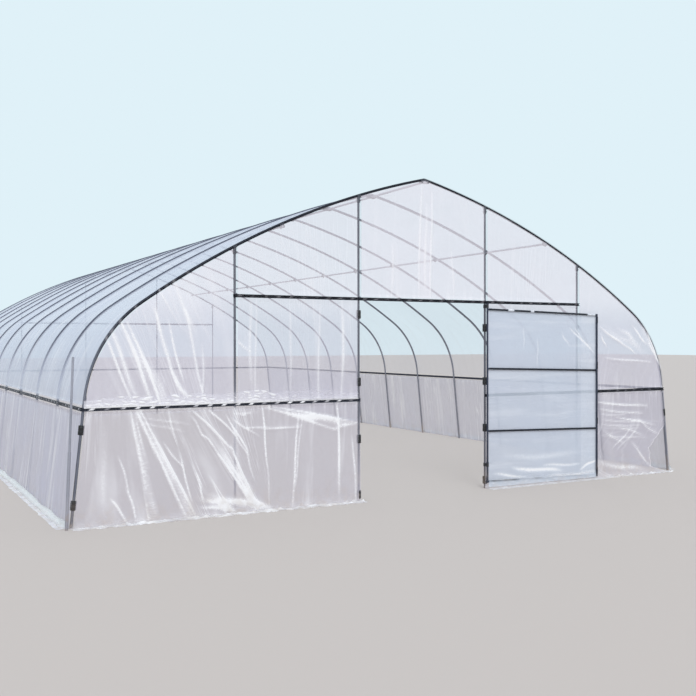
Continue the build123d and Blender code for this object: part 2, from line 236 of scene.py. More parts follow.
def build_zinc():
    """Zinc coat: colour with spangles and dull patches, roughness, and a fine height."""
    inputs = {"Colour": (0.4, 0.42, 0.46, 1), "Spangle": 0.18}
    group, start, end = make_group("zinc_coat", inputs, ["Colour", "Roughness", "Height"])
    colour = start.outputs["Colour"]
    place = object_place(group)
    cells = add_node(group, "TexVoronoi", Vector=place, Scale=150.0)
    spangle = add_node(group, "SeparateColor", Color=cells.outputs["Color"])
    clouds = ramp(group, noise(group, place, 5.0, 6.0, 0.62), 0.3, 0.72)
    streaks = noise(group, stretched(group, place, (40.0, 40.0, 3.0)), 1.0)
    shade = times(group, minus(group, spangle.outputs[0], 0.5), start.outputs["Spangle"])
    shade = plus(group, shade, times(group, minus(group, streaks, 0.5), 0.25))
    bright = plus(group, 0.62, shade, True)
    darker = mix_colour(group, 0.5, colour, (0.015, 0.017, 0.026))
    lighter = mix_colour(group, 0.03, colour, (0.85, 0.87, 0.9))
    worn = mix_colour(group, clouds, colour, darker)
    rough = plus(group, 0.34, times(group, clouds, 0.22))
    rough = plus(group, rough, times(group, spangle.outputs[1], 0.08), True)
    height = plus(group, spangle.outputs[2], times(group, streaks, 0.6))
    feed(group, end, Colour=mix_colour(group, bright, worn, lighter), Roughness=rough, Height=height)
    return group


def build_crinkle():
    """Pulled film: white bands, threads and crinkles along the sheet's own pull, clouds, and a height."""
    inputs = {"Crease": 0.0, "Threads": 0.5, "Bands": 0.5}
    group, start, end = make_group("film_crinkle", inputs, ["White", "Clouds", "Height"])
    uv = group.nodes.new("ShaderNodeUVMap")
    uv.uv_map = "film"
    pull = uv.outputs[0]

    def ridged(value, wide, sharp):
        away = math_node(group, "ABSOLUTE", minus(group, value, 0.5))
        near = minus(group, 1.0, math_node(group, "DIVIDE", away, wide), True)
        return math_node(group, "POWER", near, sharp)

    bands = ramp(group, noise(group, stretched(group, pull, (7.0, 0.75, 1.0)), 1.0, 2.0, 0.5, 0.5), 0.5, 0.74)
    threads = noise(group, stretched(group, pull, (17.0, 0.8, 1.0)), 1.0, 2.0, 0.55, 0.35)
    gate = ramp(group, noise(group, stretched(group, pull, (1.5, 0.7, 1.0)), 1.0, 2.0), 0.46, 0.68)
    fine = noise(group, pull, 19.0, 4.0, 0.6, 1.2)
    lines = times(group, ridged(threads, 0.045, 1.6), gate)
    lines = times(group, lines, start.outputs["Threads"])
    soft = times(group, bands, start.outputs["Bands"])
    busy = times(group, ridged(fine, 0.06, 1.3), start.outputs["Crease"])
    total = plus(group, plus(group, lines, soft), times(group, busy, 0.7), True)
    height = plus(group, times(group, total, 0.7), times(group, fine, 0.12))
    feed(group, end, White=total, Clouds=noise(group, pull, 0.8, 3.0, 0.55, 0.3), Height=height)
    return group


def build_pipe_contact():
    """A mask round repeated places along one direction, such as the pipes that film lies on."""
    inputs = {"Place": 0.0, "Start": 0.0, "Spacing": 1.0, "Reach": 0.03}
    group, start, end = make_group("pipe_contact", inputs, ["Mask"])
    spacing = start.outputs["Spacing"]
    steps = minus(group, start.outputs["Place"], start.outputs["Start"])
    steps = math_node(group, "DIVIDE", steps, spacing)
    away = math_node(group, "ABSOLUTE", minus(group, steps, math_node(group, "ROUND", steps)))
    away = math_node(group, "DIVIDE", times(group, away, spacing), start.outputs["Reach"])
    feed(group, end, Mask=ramp(group, away, 1.0, 0.5))
    return group


soil_dust = build_soil_dust()
zinc_coat = build_zinc()
film_crinkle = build_crinkle()
pipe_contact = build_pipe_contact()


def new_material(name, **values):
    material = bpy.data.materials.new(name)
    material.use_nodes = True
    tree = material.node_tree
    return material, tree, feed(tree, tree.nodes["Principled BSDF"], **values)


def add_bump(tree, shader, height, strength, distance):
    bump = add_node(tree, "Bump", Strength=strength, Distance=distance, Height=height)
    feed(tree, shader, Normal=bump.outputs[0])


def outer_side(tree):
    """A mask for the side of a hoop that faces away from the middle of the tunnel, where the hoops take a
    painted shade.
    """
    outwards = tree.nodes.new("ShaderNodeVectorMath")
    outwards.operation = "NORMALIZE"
    tree.links.new(stretched(tree, object_place(tree), (1.0, 0.0, 1.0)), outwards.inputs[0])
    facing = tree.nodes.new("ShaderNodeVectorMath")
    facing.operation = "DOT_PRODUCT"
    tree.links.new(outwards.outputs["Vector"], facing.inputs[0])
    tree.links.new(add_node(tree, "TexCoord").outputs["Normal"], facing.inputs[1])
    return ramp(tree, facing.outputs["Value"], -0.15, 0.25)


DRY_SOIL = (0.36, 0.29, 0.24)


def zinc_material(name, colour, spangle=0.14, metal=0.5, reach=0.3, upper=None, outer=None, stiles=None):
    """Galvanised steel with soil dust up to a reach above the ground. High up it takes the colour upper, or
    outer on the side of a hoop that lies against the film, both a painted shade, and on the leaf's two
    uprights stiles, a painted light."""
    material, tree, shader = new_material(name, Metallic=metal)
    coat = add_group(tree, zinc_coat, Colour=(*colour, 1), Spangle=spangle)
    # Painted shade: high up the end hoops darken to upper, and the other hoops darken to outer on their side
    # against the film.
    if upper or outer:
        high = ramp(tree, place_along(tree, "Z"), 1.0, 1.9)
        if outer:
            high = times(tree, high, outer_side(tree))
        feed(tree, coat, Colour=mix_colour(tree, high, colour, upper or outer))
    # Painted light: the leaf's uprights take the lighter colour stiles, lit where the bars stay in painted
    # shade.
    if stiles:
        upright = add_group(tree, pipe_contact, Start=DOOR_POST, Spacing=LEAF_WIDTH, Reach=2.4 * LEAF_RADIUS)
        feed(tree, upright, Place=place_along(tree, "X"))
        feed(tree, coat, Colour=mix_colour(tree, upright.outputs[0], colour, stiles))
    dust = add_group(tree, soil_dust, Reach=reach, Amount=0.8).outputs[0]
    dusty = mix_colour(tree, dust, coat.outputs["Colour"], DRY_SOIL)
    rough = plus(tree, coat.outputs["Roughness"], times(tree, dust, 0.4), True)
    feed(tree, shader, Base_Color=dusty, Roughness=rough, Metallic=times(tree, minus(tree, 1.0, dust), metal))
    add_bump(tree, shader, coat.outputs["Height"], 0.12, 0.0006)
    return material


def plastic_material(name, colour, reach=0.25):
    """Moulded plastic with a fine grain, scuffs and soil dust."""
    material, tree, shader = new_material(name)
    place = object_place(tree)
    scuffs = ramp(tree, noise(tree, place, 46.0, 6.0, 0.7, 0.6), 0.56, 0.74)
    dust = add_group(tree, soil_dust, Reach=reach, Amount=0.7).outputs[0]
    worn = mix_colour(tree, times(tree, scuffs, 0.35), colour, (0.16, 0.16, 0.17))
    rough = plus(tree, 0.42, times(tree, scuffs, 0.25), True)
    feed(tree, shader, Base_Color=mix_colour(tree, dust, worn, DRY_SOIL), Roughness=rough)
    add_bump(tree, shader, noise(tree, place, 900.0, 2.0), 0.15, 0.0003)
    return material


# Creases and folds turn towards this white: partly the film's own whitening where it doubles up, partly a
# painted highlight.
CREASE_WHITE_AND_SHEEN = (0.93, 0.95, 0.99)
DUSTY_FILM = (0.5, 0.43, 0.38)
# Painted shade: the colour and width of the dark line painted on film where it lies on a pipe.
PAINTED_PIPE_SHADE = (0.014, 0.018, 0.05)
PIPE_LINE = 0.028


def film_material(name, tint, haze, threads, bands, reach, inner=0.6, contacts=(), dark=0.0, high_tint=None):
    """Clear film whose creases, pulls and dust show pale, the creases partly as a painted highlight. It is
    clearer by inner when seen from its inner side, and takes high_tint high up, a lighter tint that paints
    light coming through the film.

    contacts holds (direction, start, spacing, reach, low) for the pipes behind the film, which show above the
    height low. With dark, film that is pressed on a pipe takes a painted dark line, a painted shade for the
    pipe seen dark through it."""
    material, tree, shader = new_material(name, IOR=1.49)
    marks = []
    for label in ("crease", "clear"):
        attribute = tree.nodes.new("ShaderNodeAttribute")
        attribute.attribute_name = label
        marks.append(attribute.outputs["Fac"])
    crease, clear = marks
    crinkle = add_group(tree, film_crinkle, Crease=crease, Threads=threads, Bands=bands)
    dust = add_group(tree, soil_dust, Reach=reach, Amount=0.5).outputs[0]
    veil = minus(tree, 1.0, clear)
    for direction, first, spacing, width, low in contacts:
        place = place_along(tree, direction)
        place = math_node(tree, "ABSOLUTE", place) if direction == "X" else place
        high = times(tree, ramp(tree, place_along(tree, "Z"), low, low + 0.7), 0.9)
        touch = add_group(tree, pipe_contact, Place=place, Start=first, Spacing=spacing, Reach=width)
        veil = times(tree, veil, minus(tree, 1.0, times(tree, touch.outputs[0], high)))
        # Painted shade: a dark line on the film along each pipe it lies on.
        if dark:
            line = add_group(tree, pipe_contact, Place=place, Start=first, Spacing=spacing, Reach=PIPE_LINE)
            pressed = times(tree, line.outputs[0], high)
    white = plus(tree, crease, times(tree, crinkle.outputs["White"], veil), True)
    # Painted light: high up the film takes a lighter tint, for light that comes through it.
    if high_tint:
        tint = mix_colour(tree, ramp(tree, place_along(tree, "Z"), 1.6, 2.1), tint, high_tint)
    # Crease white is part real whitening and part painted highlight; dust lies over it.
    shown = mix_colour(tree, dust, mix_colour(tree, white, tint, CREASE_WHITE_AND_SHEEN), DUSTY_FILM)
    if dark:
        shown = mix_colour(tree, pressed, shown, PAINTED_PIPE_SHADE)
    clouds = times(tree, minus(tree, crinkle.outputs["Clouds"], 0.5), haze * 0.7)
    alpha = plus(tree, times(tree, plus(tree, haze, clouds), veil), times(tree, white, 0.45))
    alpha = plus(tree, alpha, times(tree, dust, 0.3), True)
    if dark:
        alpha = plus(tree, alpha, times(tree, pressed, dark), True)
    rays = add_node(tree, "LightPath")
    soft_rays = plus(tree, rays.outputs["Is Shadow Ray"], rays.outputs["Is Diffuse Ray"], True)
    passed = minus(tree, 1.0, times(tree, soft_rays, 0.9))
    inside = add_node(tree, "NewGeometry").outputs["Backfacing"]
    passed = times(tree, passed, minus(tree, 1.0, times(tree, inside, inner)))
    rough = plus(tree, 0.25, times(tree, crinkle.outputs["Clouds"], 0.25), True)
    feed(tree, shader, Base_Color=shown, Roughness=rough, Alpha=times(tree, alpha, passed))
    add_bump(tree, shader, crinkle.outputs["Height"], 0.25, 0.006)
    return material


# Painted shade: the hoops near black high up on their outer side, and the end hoops near black high up, for
# how dark they are seen against the light.
hoop_zinc = zinc_material("hoop_zinc", (0.25, 0.26, 0.31), outer=(0.004, 0.006, 0.024))
end_hoop_zinc = zinc_material("end_hoop_zinc", (0.2, 0.21, 0.26), 0.12, 0.75, upper=(0.003, 0.004, 0.014))
# Painted shade: the posts and plain tubes are darker than their zinc, for the shade they stand in.
post_zinc_painted_shade = zinc_material("post_zinc_painted_shade", (0.12, 0.127, 0.16), reach=0.35)
purlin_zinc = zinc_material("purlin_zinc", (0.38, 0.39, 0.45))
pole_zinc = zinc_material("pole_zinc", (0.4, 0.41, 0.48), 0.2, 0.6)
# Painted shade: the leaf's zinc tubes are near black for the backlit shade they stand in, and its uprights
# are a painted lighter colour.
door_zinc_painted_shade = zinc_material("door_zinc_painted_shade", (0.012, 0.014, 0.024), 0.1, 0.85, 0.2, stiles=(0.05, 0.06, 0.095))
# Painted shade: the rails and the header rail are near black, for the shade in and under their channels.
rail_zinc_painted_shade = zinc_material("rail_zinc_painted_shade", (0.024, 0.028, 0.05), 0.12, 0.7)
header_zinc_painted_shade = zinc_material("header_zinc_painted_shade", (0.006, 0.007, 0.015), 0.1, 0.85, 0.25)
clamp_zinc = zinc_material("clamp_zinc", (0.06, 0.065, 0.085), 0.3, 0.6, 0.1)
wire_coat = plastic_material("wire_coat", (0.015, 0.017, 0.024), 0.2)
black_clip = plastic_material("black_clip", (0.012, 0.013, 0.016))
hinge_black = plastic_material("hinge_black", (0.02, 0.021, 0.024))

# Painted light: a pale tint for film lit through from behind, used high up on the end walls and over the
# doorway.
PAINTED_GLOW_TINT = (0.85, 0.825, 0.91)
ONCE = 40.0  # spacing so wide that only one place lies on the tunnel
hoops_behind = (("Y", -HALF_LENGTH, BAY, 0.04, 1.0),)
door_posts = (("X", DOOR_POST, ONCE, 0.03, 0.2),)
all_posts = (*door_posts, ("X", OUTER_POST, ONCE, 0.03, 0.6))
# Painted shade: the roof film darkens along the hoops it lies on.
roof_film = film_material(
    "roof_film", (0.56, 0.615, 0.765), 0.8, 0.35, 0.3, 0.05, inner=0.75, contacts=hoops_behind, dark=0.95
)
wall_film = film_material(
    "wall_film", (0.62, 0.615, 0.73), 0.6, 0.3, 0.25, 0.12, contacts=all_posts, high_tint=PAINTED_GLOW_TINT
)
# Painted light: the film over the doorway takes the pale tint all over.
top_film = film_material("top_film", PAINTED_GLOW_TINT, 0.76, 0.12, 0.15, 0.1, contacts=door_posts)
low_film = film_material("low_film", (0.56, 0.545, 0.635), 0.52, 0.6, 0.4, 0.3, contacts=door_posts)
skirt_film = film_material("skirt_film", (0.58, 0.595, 0.73), 0.86, 0.7, 0.5, 0.16, inner=0.35)
hem_film = film_material("hem_film", (0.72, 0.82, 0.86), 0.85, 0.5, 0.5, 0.03)
leaf_film = film_material("leaf_film", (0.56, 0.64, 0.76), 0.76, 0.15, 0.2, 0.08, inner=0.0)

slot_materials = {
    "tube": post_zinc_painted_shade,
    "door_tube": door_zinc_painted_shade,
    "rail": rail_zinc_painted_shade,
    "clamp": clamp_zinc,
    "hinge": hinge_black,
    "clip": black_clip,
    "pole": pole_zinc,
    "film": wall_film,
}
for part in frame["record"]["subparts"]:
    node = nodes[part["node"]]
    finish = hoop_zinc if part["node"].startswith("hoop_") else slot_materials[part["material_slot"]]
    if part["node"] in ("hoop_01", "hoop_12"):
        finish = end_hoop_zinc
    if part["node"].endswith("purlin"):
        finish = purlin_zinc
    if part["node"] in ("front_header_rail", "front_rail_right"):
        finish = header_zinc_painted_shade
    node.data.materials.clear()
    node.data.materials.append(finish)


# Film sheets
def add_object(name, data, material, body="tunnel"):
    piece = bpy.data.objects.new(name, data)
    scene.collection.objects.link(piece)
    data.materials.append(material)
    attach(piece, body)
    return piece


def meshed(maker, name):
    mesh = bpy.data.meshes.new(name)
    maker.to_mesh(mesh)
    maker.free()
    return mesh


def wrinkles(across, along, folds):
    """Height and whiteness of straight folds on a sheet. A fold is its first place across and along, its last
    one, its spread and its rise, in metres."""
    height = np.zeros_like(across)
    white = np.zeros_like(across)
    for across_0, along_0, across_1, along_1, spread, rise in folds:
        run = np.array([across_1 - across_0, along_1 - along_0])
        length = max(np.hypot(*run), 1e-6)
        run = run / length
        share = ((across - across_0) * run[0] + (along - along_0) * run[1]) / length
        bow = 0.3 * spread * np.sin(share * 5.0 + across_0 * 9.0)
        away = (across - across_0) * run[1] - (along - along_0) * run[0] + bow
        inside = np.clip(share, 0.0, 1.0)
        past = np.abs(share - inside) * length
        taper = np.exp(-((past / (spread * 1.5)) ** 2)) * (0.4 + 0.6 * np.sin(pi * inside) ** 0.6)
        height += rise * np.exp(-np.abs(away) / spread) * taper
        white += min(rise / 0.01, 1.0) * np.exp(-((away / (0.5 * spread)) ** 2)) * taper
    return height, white


def waves(u, v, seed, low, high, count=14):
    """Soft uneven waves between two wavelengths, about 1 high."""
    rng = Random(seed)
    total = np.zeros_like(u)
    for _ in range(count):
        length = low * (high / low) ** rng.random()
        turn = rng.uniform(0, 2 * pi)
        phase = (u * cos(turn) + v * sin(turn)) * 2 * pi / length + rng.uniform(0, 2 * pi)
        total += np.sin(phase) * (length / high) ** 0.5
    return total / count ** 0.5


def ripples(along, seed, low, high, count):
    """Waves along one direction only."""
    return waves(along, along * 0, seed, low, high, count)


def evenly(count):
    return np.linspace(0, 1, count)


def fade_in(value, full):
    """Rises evenly from 0 at 0 to 1 at full."""
    return np.clip(value / full, 0.0, 1.0)


def rise_between(value, low, high):
    """Rises smoothly from 0 at low to 1 at high."""
    share = fade_in(value - low, high - low)
    return share * share * (3 - 2 * share)


def fall_between(value, low, high):
    """Falls smoothly from 1 at low to 0 at high."""
    return rise_between(-value, -high, -low)


def random_folds(seed, count, low, high, lean, spread, rise):
    """Folds between two corners of a sheet, mostly along one lean from upright."""
    rng = Random(seed)
    folds = []
    for _ in range(count):
        across = rng.uniform(low[0], high[0])
        along = rng.uniform(low[1], high[1])
        length = rng.uniform(0.2, 0.7)
        turn = lean + rng.uniform(-0.15, 0.15)
        size = rng.uniform(0.6, 1.4)
        last = (across + length * sin(turn), along + length * cos(turn))
        folds.append((across, along, *last, spread * size, rise * rng.uniform(0.4, 1.2)))
    return folds


def make_sheet(name, material, columns, rows, shape, outside, body="tunnel"):
    """A film sheet from a grid. Its shape(u, v) gives places, whiteness, clearness and pull for fractions u
    across its columns and v up its rows."""
    maker = bmesh.new()
    bmesh.ops.create_grid(maker, x_segments=len(columns) - 1, y_segments=len(rows) - 1, size=0.5)
    flat = np.array([vertex.co[:2] for vertex in maker.verts]) + 0.5
    u = np.interp(flat[:, 0], evenly(len(columns)), columns)
    v = np.interp(flat[:, 1], evenly(len(rows)), rows)
    places, whites, clears, pull = shape(u, v)
    white_layer = maker.verts.layers.float.new("crease")
    clear_layer = maker.verts.layers.float.new("clear")
    for vertex, place, white, clear in zip(maker.verts, places.tolist(), whites.tolist(), clears.tolist()):
        vertex.co = place
        vertex[white_layer] = min(max(white, 0.0), 1.0)
        vertex[clear_layer] = min(max(clear, 0.0), 1.0)
    uv_layer = maker.loops.layers.uv.new("film")
    maker.verts.index_update()
    for face in maker.faces:
        face.smooth = True
        for loop in face.loops:
            loop[uv_layer].uv = pull[loop.vert.index]
    maker.normal_update()
    facing = sum((face.normal * face.calc_area() for face in maker.faces), Vector())
    if facing.dot(Vector(outside)) < 0:
        bmesh.ops.reverse_faces(maker, faces=maker.faces)
    return add_object(name, meshed(maker, name), material, body)


def tuck(distance, back=WALL_FILM):
    """How far out the film stands beside a rail, by its distance from the rail's mouth."""
    return back + (RAIL_FRONT + 0.0012 - back) * fade_in(0.03 - distance, 0.018)


def pleats(along, distance, seed):
    """Height and whiteness of small gathers where a rail grips the film."""
    wave = ripples(along, seed, 0.035, 0.14, 10)
    grip = np.exp(-distance / 0.07)
    height = 0.003 * np.abs(wave) * (grip * fade_in(distance, 0.02))
    return height, 0.4 * np.clip(wave, 0.0, 1.5) * grip


def on_ground_lift(along, out, seed, rise):
    """Height and whiteness of crumpled film that lies on the ground."""
    crumple = np.abs(waves(along, out * 2.5, seed, 0.05, 0.3, 16))
    settled = fade_in(out, 0.05)
    return 0.004 + rise * crumple * settled, (0.4 + 0.35 * crumple) * settled


# Roof: one sheet from side rail to side rail
arch, arch_out, arch_even = arch_line(0.0)
half_arch = arch_even[-1]


def roof_shape(u, v):
    across = (u - 0.5) * 2 * half_arch
    along = (v - 0.5) * 2 * (HALF_LENGTH + WALL_FILM)
    from_rail = half_arch - np.abs(across)
    side = np.where(across < 0, -1.0, 1.0)
    bay = np.clip((along + HALF_LENGTH) / BAY, 0, HOOPS - 1)
    between = np.sin(pi * bay) ** 2
    sag = -0.011 * between * fade_in(from_rail, 0.3)
    soft = waves(across, along, 5, 0.35, 1.8) * 0.0022
    pull = waves(across * 0.2, along, 9, 0.12, 0.5) * 0.003 * np.exp(-from_rail / 0.9)
    gather, gather_white = pleats(along, from_rail, 3)
    height, white = wrinkles(across, along, roof_folds)
    beside = np.abs(along + HALF_LENGTH - BAY * np.round((along + HALF_LENGTH) / BAY))
    dip = 0.012 * rise_between(beside, 0.008, 0.021) * fade_in(from_rail, 0.25)
    dip = dip * (np.abs(along) < HALF_LENGTH)
    offset = tuck(from_rail - MOUTH, ROOF_FILM) + sag - dip + (soft + pull + height) * between + gather
    x = np.interp(from_rail, arch_even, arch[:, 0])
    z = np.interp(from_rail, arch_even, arch[:, 1])
    out_x = np.interp(from_rail, arch_even, arch_out[:, 0]) * fade_in(np.abs(across), 0.25)
    out_z = np.interp(from_rail, arch_even, arch_out[:, 1])
    rail_lift = MOUTH * np.clip(1 - from_rail / 0.02, 0, 1)
    places = np.c_[side * (x + offset * out_x), along, z + offset * out_z + rail_lift]
    white = 0.6 * white + gather_white + 0.12 * np.clip(pull * 300, 0, 1)
    return places, white, fall_between(from_rail, 0.02, 0.045), np.c_[along + 20, across]


rng = Random(11)
roof_folds = []
for _ in range(60):
    side = rng.choice((-1, 1))
    start = side * rng.uniform(2.4, 4.3)
    place = rng.uniform(-5.6, 5.2)
    last = (start - side * rng.uniform(0.3, 0.9), place + rng.uniform(-0.08, 0.2))
    roof_folds.append((start, place, *last, 0.05, 0.005))
edge = np.array([0, 0.012, 0.02, 0.03, 0.045, 0.07]) / (2 * half_arch)
roof_columns = np.concatenate([edge, np.linspace(0.013, 0.987, 180), 1 - edge[::-1]])
roof_end = HALF_LENGTH + WALL_FILM
past_hoop = np.array([0.008, 0.011, 0.014, 0.018, 0.022, 0.03])
beside_hoop = np.concatenate([-past_hoop[::-1], [0], past_hoop])
roof_places = [-roof_end, roof_end]
for hoop_y in HOOP_PLACES:
    roof_places.extend(hoop_y + beside_hoop)
for hoop_y in HOOP_PLACES[:-1]:
    roof_places.extend(np.linspace(hoop_y + 0.06, hoop_y + BAY - 0.06, 17))
roof_rows = np.unique(np.clip(roof_places, -roof_end, roof_end)) / (2 * roof_end) + 0.5
roof = make_sheet("roof_cover", roof_film, roof_columns, roof_rows, roof_shape, (0, 0, 1))
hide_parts("roof_film_left", "roof_film_right")


# Sides: a skirt from the rail to the ground and out along it, under a bunched hem
SKIRT_FALL = (RAIL_HEIGHT - MOUTH) / cos(LEAN)
SKIRT_FLAP = 0.11


def skirt_shape(side, seed):
    def shape(u, v):
        along = (u - 0.5) * 2 * (HALF_LENGTH + WALL_FILM - 0.002)
        down = v * (SKIRT_FALL + SKIRT_FLAP)
        on_wall = np.clip(down, 0, SKIRT_FALL)
        on_ground = np.clip(down - SKIRT_FALL, 0, None)
        height = (RAIL_HEIGHT - MOUTH) - on_wall * cos(LEAN)
        slack = on_wall / SKIRT_FALL
        folds = waves(along + 0.1 * down, down * 0.1, seed, 0.1, 0.5, 16)
        slanted = waves(along + down * 0.25, down * 0.1, seed + 1, 0.25, 1.3, 10)
        push = np.abs(folds) * 0.007 * (0.3 + slack) + np.abs(slanted) * 0.004 * slack
        gather, gather_white = pleats(along, down, seed + 2)
        lift, ground_white = on_ground_lift(along, on_ground, seed + 3, 0.006)
        offset = tuck(down, ROOF_FILM) + (push + gather) * fade_in(down, 0.04)
        x = leg_x(height) + offset / cos(LEAN) + on_ground * 0.97
        z = np.where(on_ground > 0, lift, np.maximum(height, 0.004))
        creased = 0.5 * rise_between(np.abs(folds), 0.9, 1.8) * (0.4 + 0.6 * slack)
        white = creased + gather_white + ground_white
        clear = fall_between(down, 0.004, 0.02)
        return np.c_[side * x, along, z], white, clear, np.c_[along + 20, down]

    return shape


def hem_shape(side, seed):
    """Bunched film rolled up along the foot of a side."""

    def shape(u, v):
        along = (u - 0.5) * 2 * (HALF_LENGTH - 0.03)
        swell = ripples(along, seed, 0.2, 1.4, 12)
        folds = waves(along, v * 0.1, seed + 1, 0.05, 0.2, 18)
        size = np.clip(0.031 + 0.006 * swell, 0.02, 0.042)
        radius = size * (0.84 + 0.16 * v) + 0.0022 * folds
        turn = v * 2.25 * pi - 0.7 * pi
        middle = leg_x(0.0) + 0.066 + 0.006 * ripples(along, seed + 2, 0.6, 2.0, 6)
        x = middle + radius * np.cos(turn) * 1.1
        z = np.clip(size * 0.95 + radius * np.sin(turn), 0.003, None)
        white = 0.3 + 0.4 * rise_between(folds, 0.2, 1.6)
        return np.c_[side * x, along, z], white, along * 0, np.c_[along + 20, v * 0.2]

    return shape


def graded_rows(near, wall, ground):
    """Rows that lie close together at the rail, then on the wall, then on the ground."""
    return np.concatenate([near, np.linspace(*wall), np.linspace(*ground)])


skirt_rows = graded_rows([0, 0.01, 0.02, 0.03], (0.045, 0.86, 24), (0.875, 1, 10))
for side, word, seed in ((-1, "left", 21), (1, "right", 27)):
    shape = skirt_shape(side, seed)
    skirt = make_sheet(f"{word}_skirt", skirt_film, evenly(521), skirt_rows, shape, (side, 0, 0.3))
    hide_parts(f"side_film_{word}")
    shape = hem_shape(side, seed + 5)
    hem = make_sheet(f"{word}_hem", hem_film, evenly(801), evenly(23), shape, (0, 0, 1))
    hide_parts("ground_flaps")


# End walls, each column of the grid running along the film's pull
def from_leg(u, side):
    """Which side of the tunnel the columns lie on, and how far they lie from the leg to the inner edge."""
    if side is None:
        return np.where(u < 0.5, -1.0, 1.0), 1 - np.abs(2 * u - 1)
    return side, u


def upper_wall(inner, folds, seed, wall, side=None, haze=None):
    """Film between a rail and the end hoop, from the leg to inner, on one side or, without side, on both."""
    line, outwards, even = arch_line(ROOF_FILM)
    far = float(np.interp(-inner, -line[:, 0], even))
    low = RAIL_HEIGHT + MOUTH
    header = HEADER_HEIGHT

    def shape(u, v):
        toward, across = from_leg(u, side)
        hoop_x = np.interp(across * far, even, line[:, 0])
        hoop_z = np.maximum(np.interp(across * far, even, line[:, 1]), low)
        out_x = np.interp(across * far, even, outwards[:, 0])
        out_z = np.interp(across * far, even, outwards[:, 1])
        plain = low + v * (hoop_z - low)
        # Rows gather at the header rail's edges where the wall is tall enough to reach it
        levels = [low, header - 0.022, header - 0.008, header + 0.008, header + 0.022]
        placed = np.interp(v, [0, 0.44, 0.47, 0.53, 0.56], levels)
        placed += np.clip(v - 0.56, 0, None) / 0.44 * (hoop_z - levels[-1])
        z = plain + rise_between(hoop_z, 2.1, 2.5) * (placed - plain)
        share = fade_in(z - low, np.maximum(hoop_z - low, 1e-6))
        rail_x = leg_x(low, ROOF_FILM) + (inner - leg_x(low, ROOF_FILM)) * across
        x = rail_x + (hoop_x - rail_x) * share
        from_arch = (hoop_x - x) * out_x + (hoop_z - z) * out_z
        down = z - low
        from_header = np.where(x < HEADER_END + 0.01, np.abs(z - header), 1.0)
        in_mouth = fade_in(MOUTH_GAP - from_header, 0.003)
        height, white = wrinkles(x * toward if side is None else x, z, folds)
        from_rails = np.minimum(down, np.clip(from_header - 0.02, 0, None))
        calm = fade_in(from_rails, 0.04) * fade_in(from_arch, 0.08)
        soft = waves(x * toward, z, seed, 0.3, 1.2) * 0.003
        gather, gather_white = pleats(x * toward, down, seed + 1)
        offset = np.maximum(tuck(down), tuck(np.clip(from_header - MOUTH_GAP, 0, None))) - 0.0045 * in_mouth
        offset += np.abs(height + soft) * calm + gather
        places = np.c_[toward * x, wall * (HALF_LENGTH + offset), z]
        clear = np.maximum(fall_between(from_arch, 0.026, 0.034), fall_between(from_header, 0.014, 0.02))
        clear = np.maximum(clear, fall_between(down, 0.006, 0.014))
        if haze is not None:
            clear = np.maximum(clear, haze(x, z))
        pull = np.c_[toward * (leg_x(low) - rail_x) + 9, z]
        return places, white + gather_white, clear, pull

    return shape


upper_rows = np.concatenate(
    [
        0.44 * evenly(52) ** 1.25,
        np.linspace(0.44, 0.56, 13)[1:],
        0.56 + 0.44 * (1 - (1 - evenly(48)) ** 1.35)[1:],
    ]
)


def lower_wall(edge, inner, fan, folds, seed, wall, side=None, calm_to=0.0):
    """Film between a rail and the ground and out along it. The fan holds how far along from the leg the
    film's pulls start on the rail and end on the ground. Up to calm_to it lies flat on the ground."""
    fall = RAIL_HEIGHT - MOUTH

    def shape(u, v):
        toward, across = from_leg(u, side)
        down = v * (fall + FLAP)
        z = np.clip(fall - down, 0, None)
        on_ground = np.clip(down - fall, 0, None)
        slack = fade_in(down, fall)
        along = across + (np.interp(across, *fan) - across) * slack
        x = edge(z) + (inner - edge(z)) * along
        height, white = wrinkles(x * toward if side is None else x, z, folds)
        soft = waves(x * toward, down, seed, 0.2, 0.9) * 0.004 * slack
        gather, gather_white = pleats(x * toward, down, seed + 1)
        flat = 0.15 + 0.85 * rise_between(x, calm_to, calm_to + 0.1)
        lift, ground_white = on_ground_lift(x * toward, on_ground, seed + 2, 0.014 * flat)
        offset = tuck(down) + np.abs(height * (on_ground <= 0) + soft) * fade_in(down, 0.05) + gather
        offset += on_ground * 0.95
        z = np.where(on_ground > 0, lift, np.maximum(z, 0.004))
        near_ground = 0.35 * np.exp(-z / 0.035) * (on_ground <= 0)
        loose_rim = 0.6 * np.exp(-(edge(z) - x) / 0.012) * (leg_x(z) - edge(z) > 0.03)
        places = np.c_[toward * x, wall * (HALF_LENGTH + offset), z]
        pull = np.c_[toward * across * (leg_x(0) - inner) + 9, down]
        on_leg = rise_between(x - leg_x(z, ROOF_FILM), -0.036, -0.026) * (on_ground <= 0)
        clear = np.maximum(fall_between(down, 0.006, 0.014), on_leg)
        return places, white + gather_white + ground_white + near_ground + loose_rim, clear, pull

    return shape, fall + FLAP


lower_rows = graded_rows([0, 0.008, 0.016, 0.026], (0.036, 0.855, 62), (0.866, 1, 16))


def straight_edge(z):
    return leg_x(z, ROOF_FILM)


def torn_edge(z):
    """Outer edge of the front right film, which has pulled off the leg low down."""
    jagged = 0.008 * np.sin(z * 61.0) + 0.005 * np.sin(z * 143.0)
    heights = [0.0, 0.065, 0.295, 0.546, 0.6]
    torn = np.interp(z, heights, [3.434, 3.209, 3.171, 3.427, leg_x(0.6)])
    return np.where(z < 0.6, torn + jagged * fade_in(0.56 - z, 0.1), straight_edge(z))


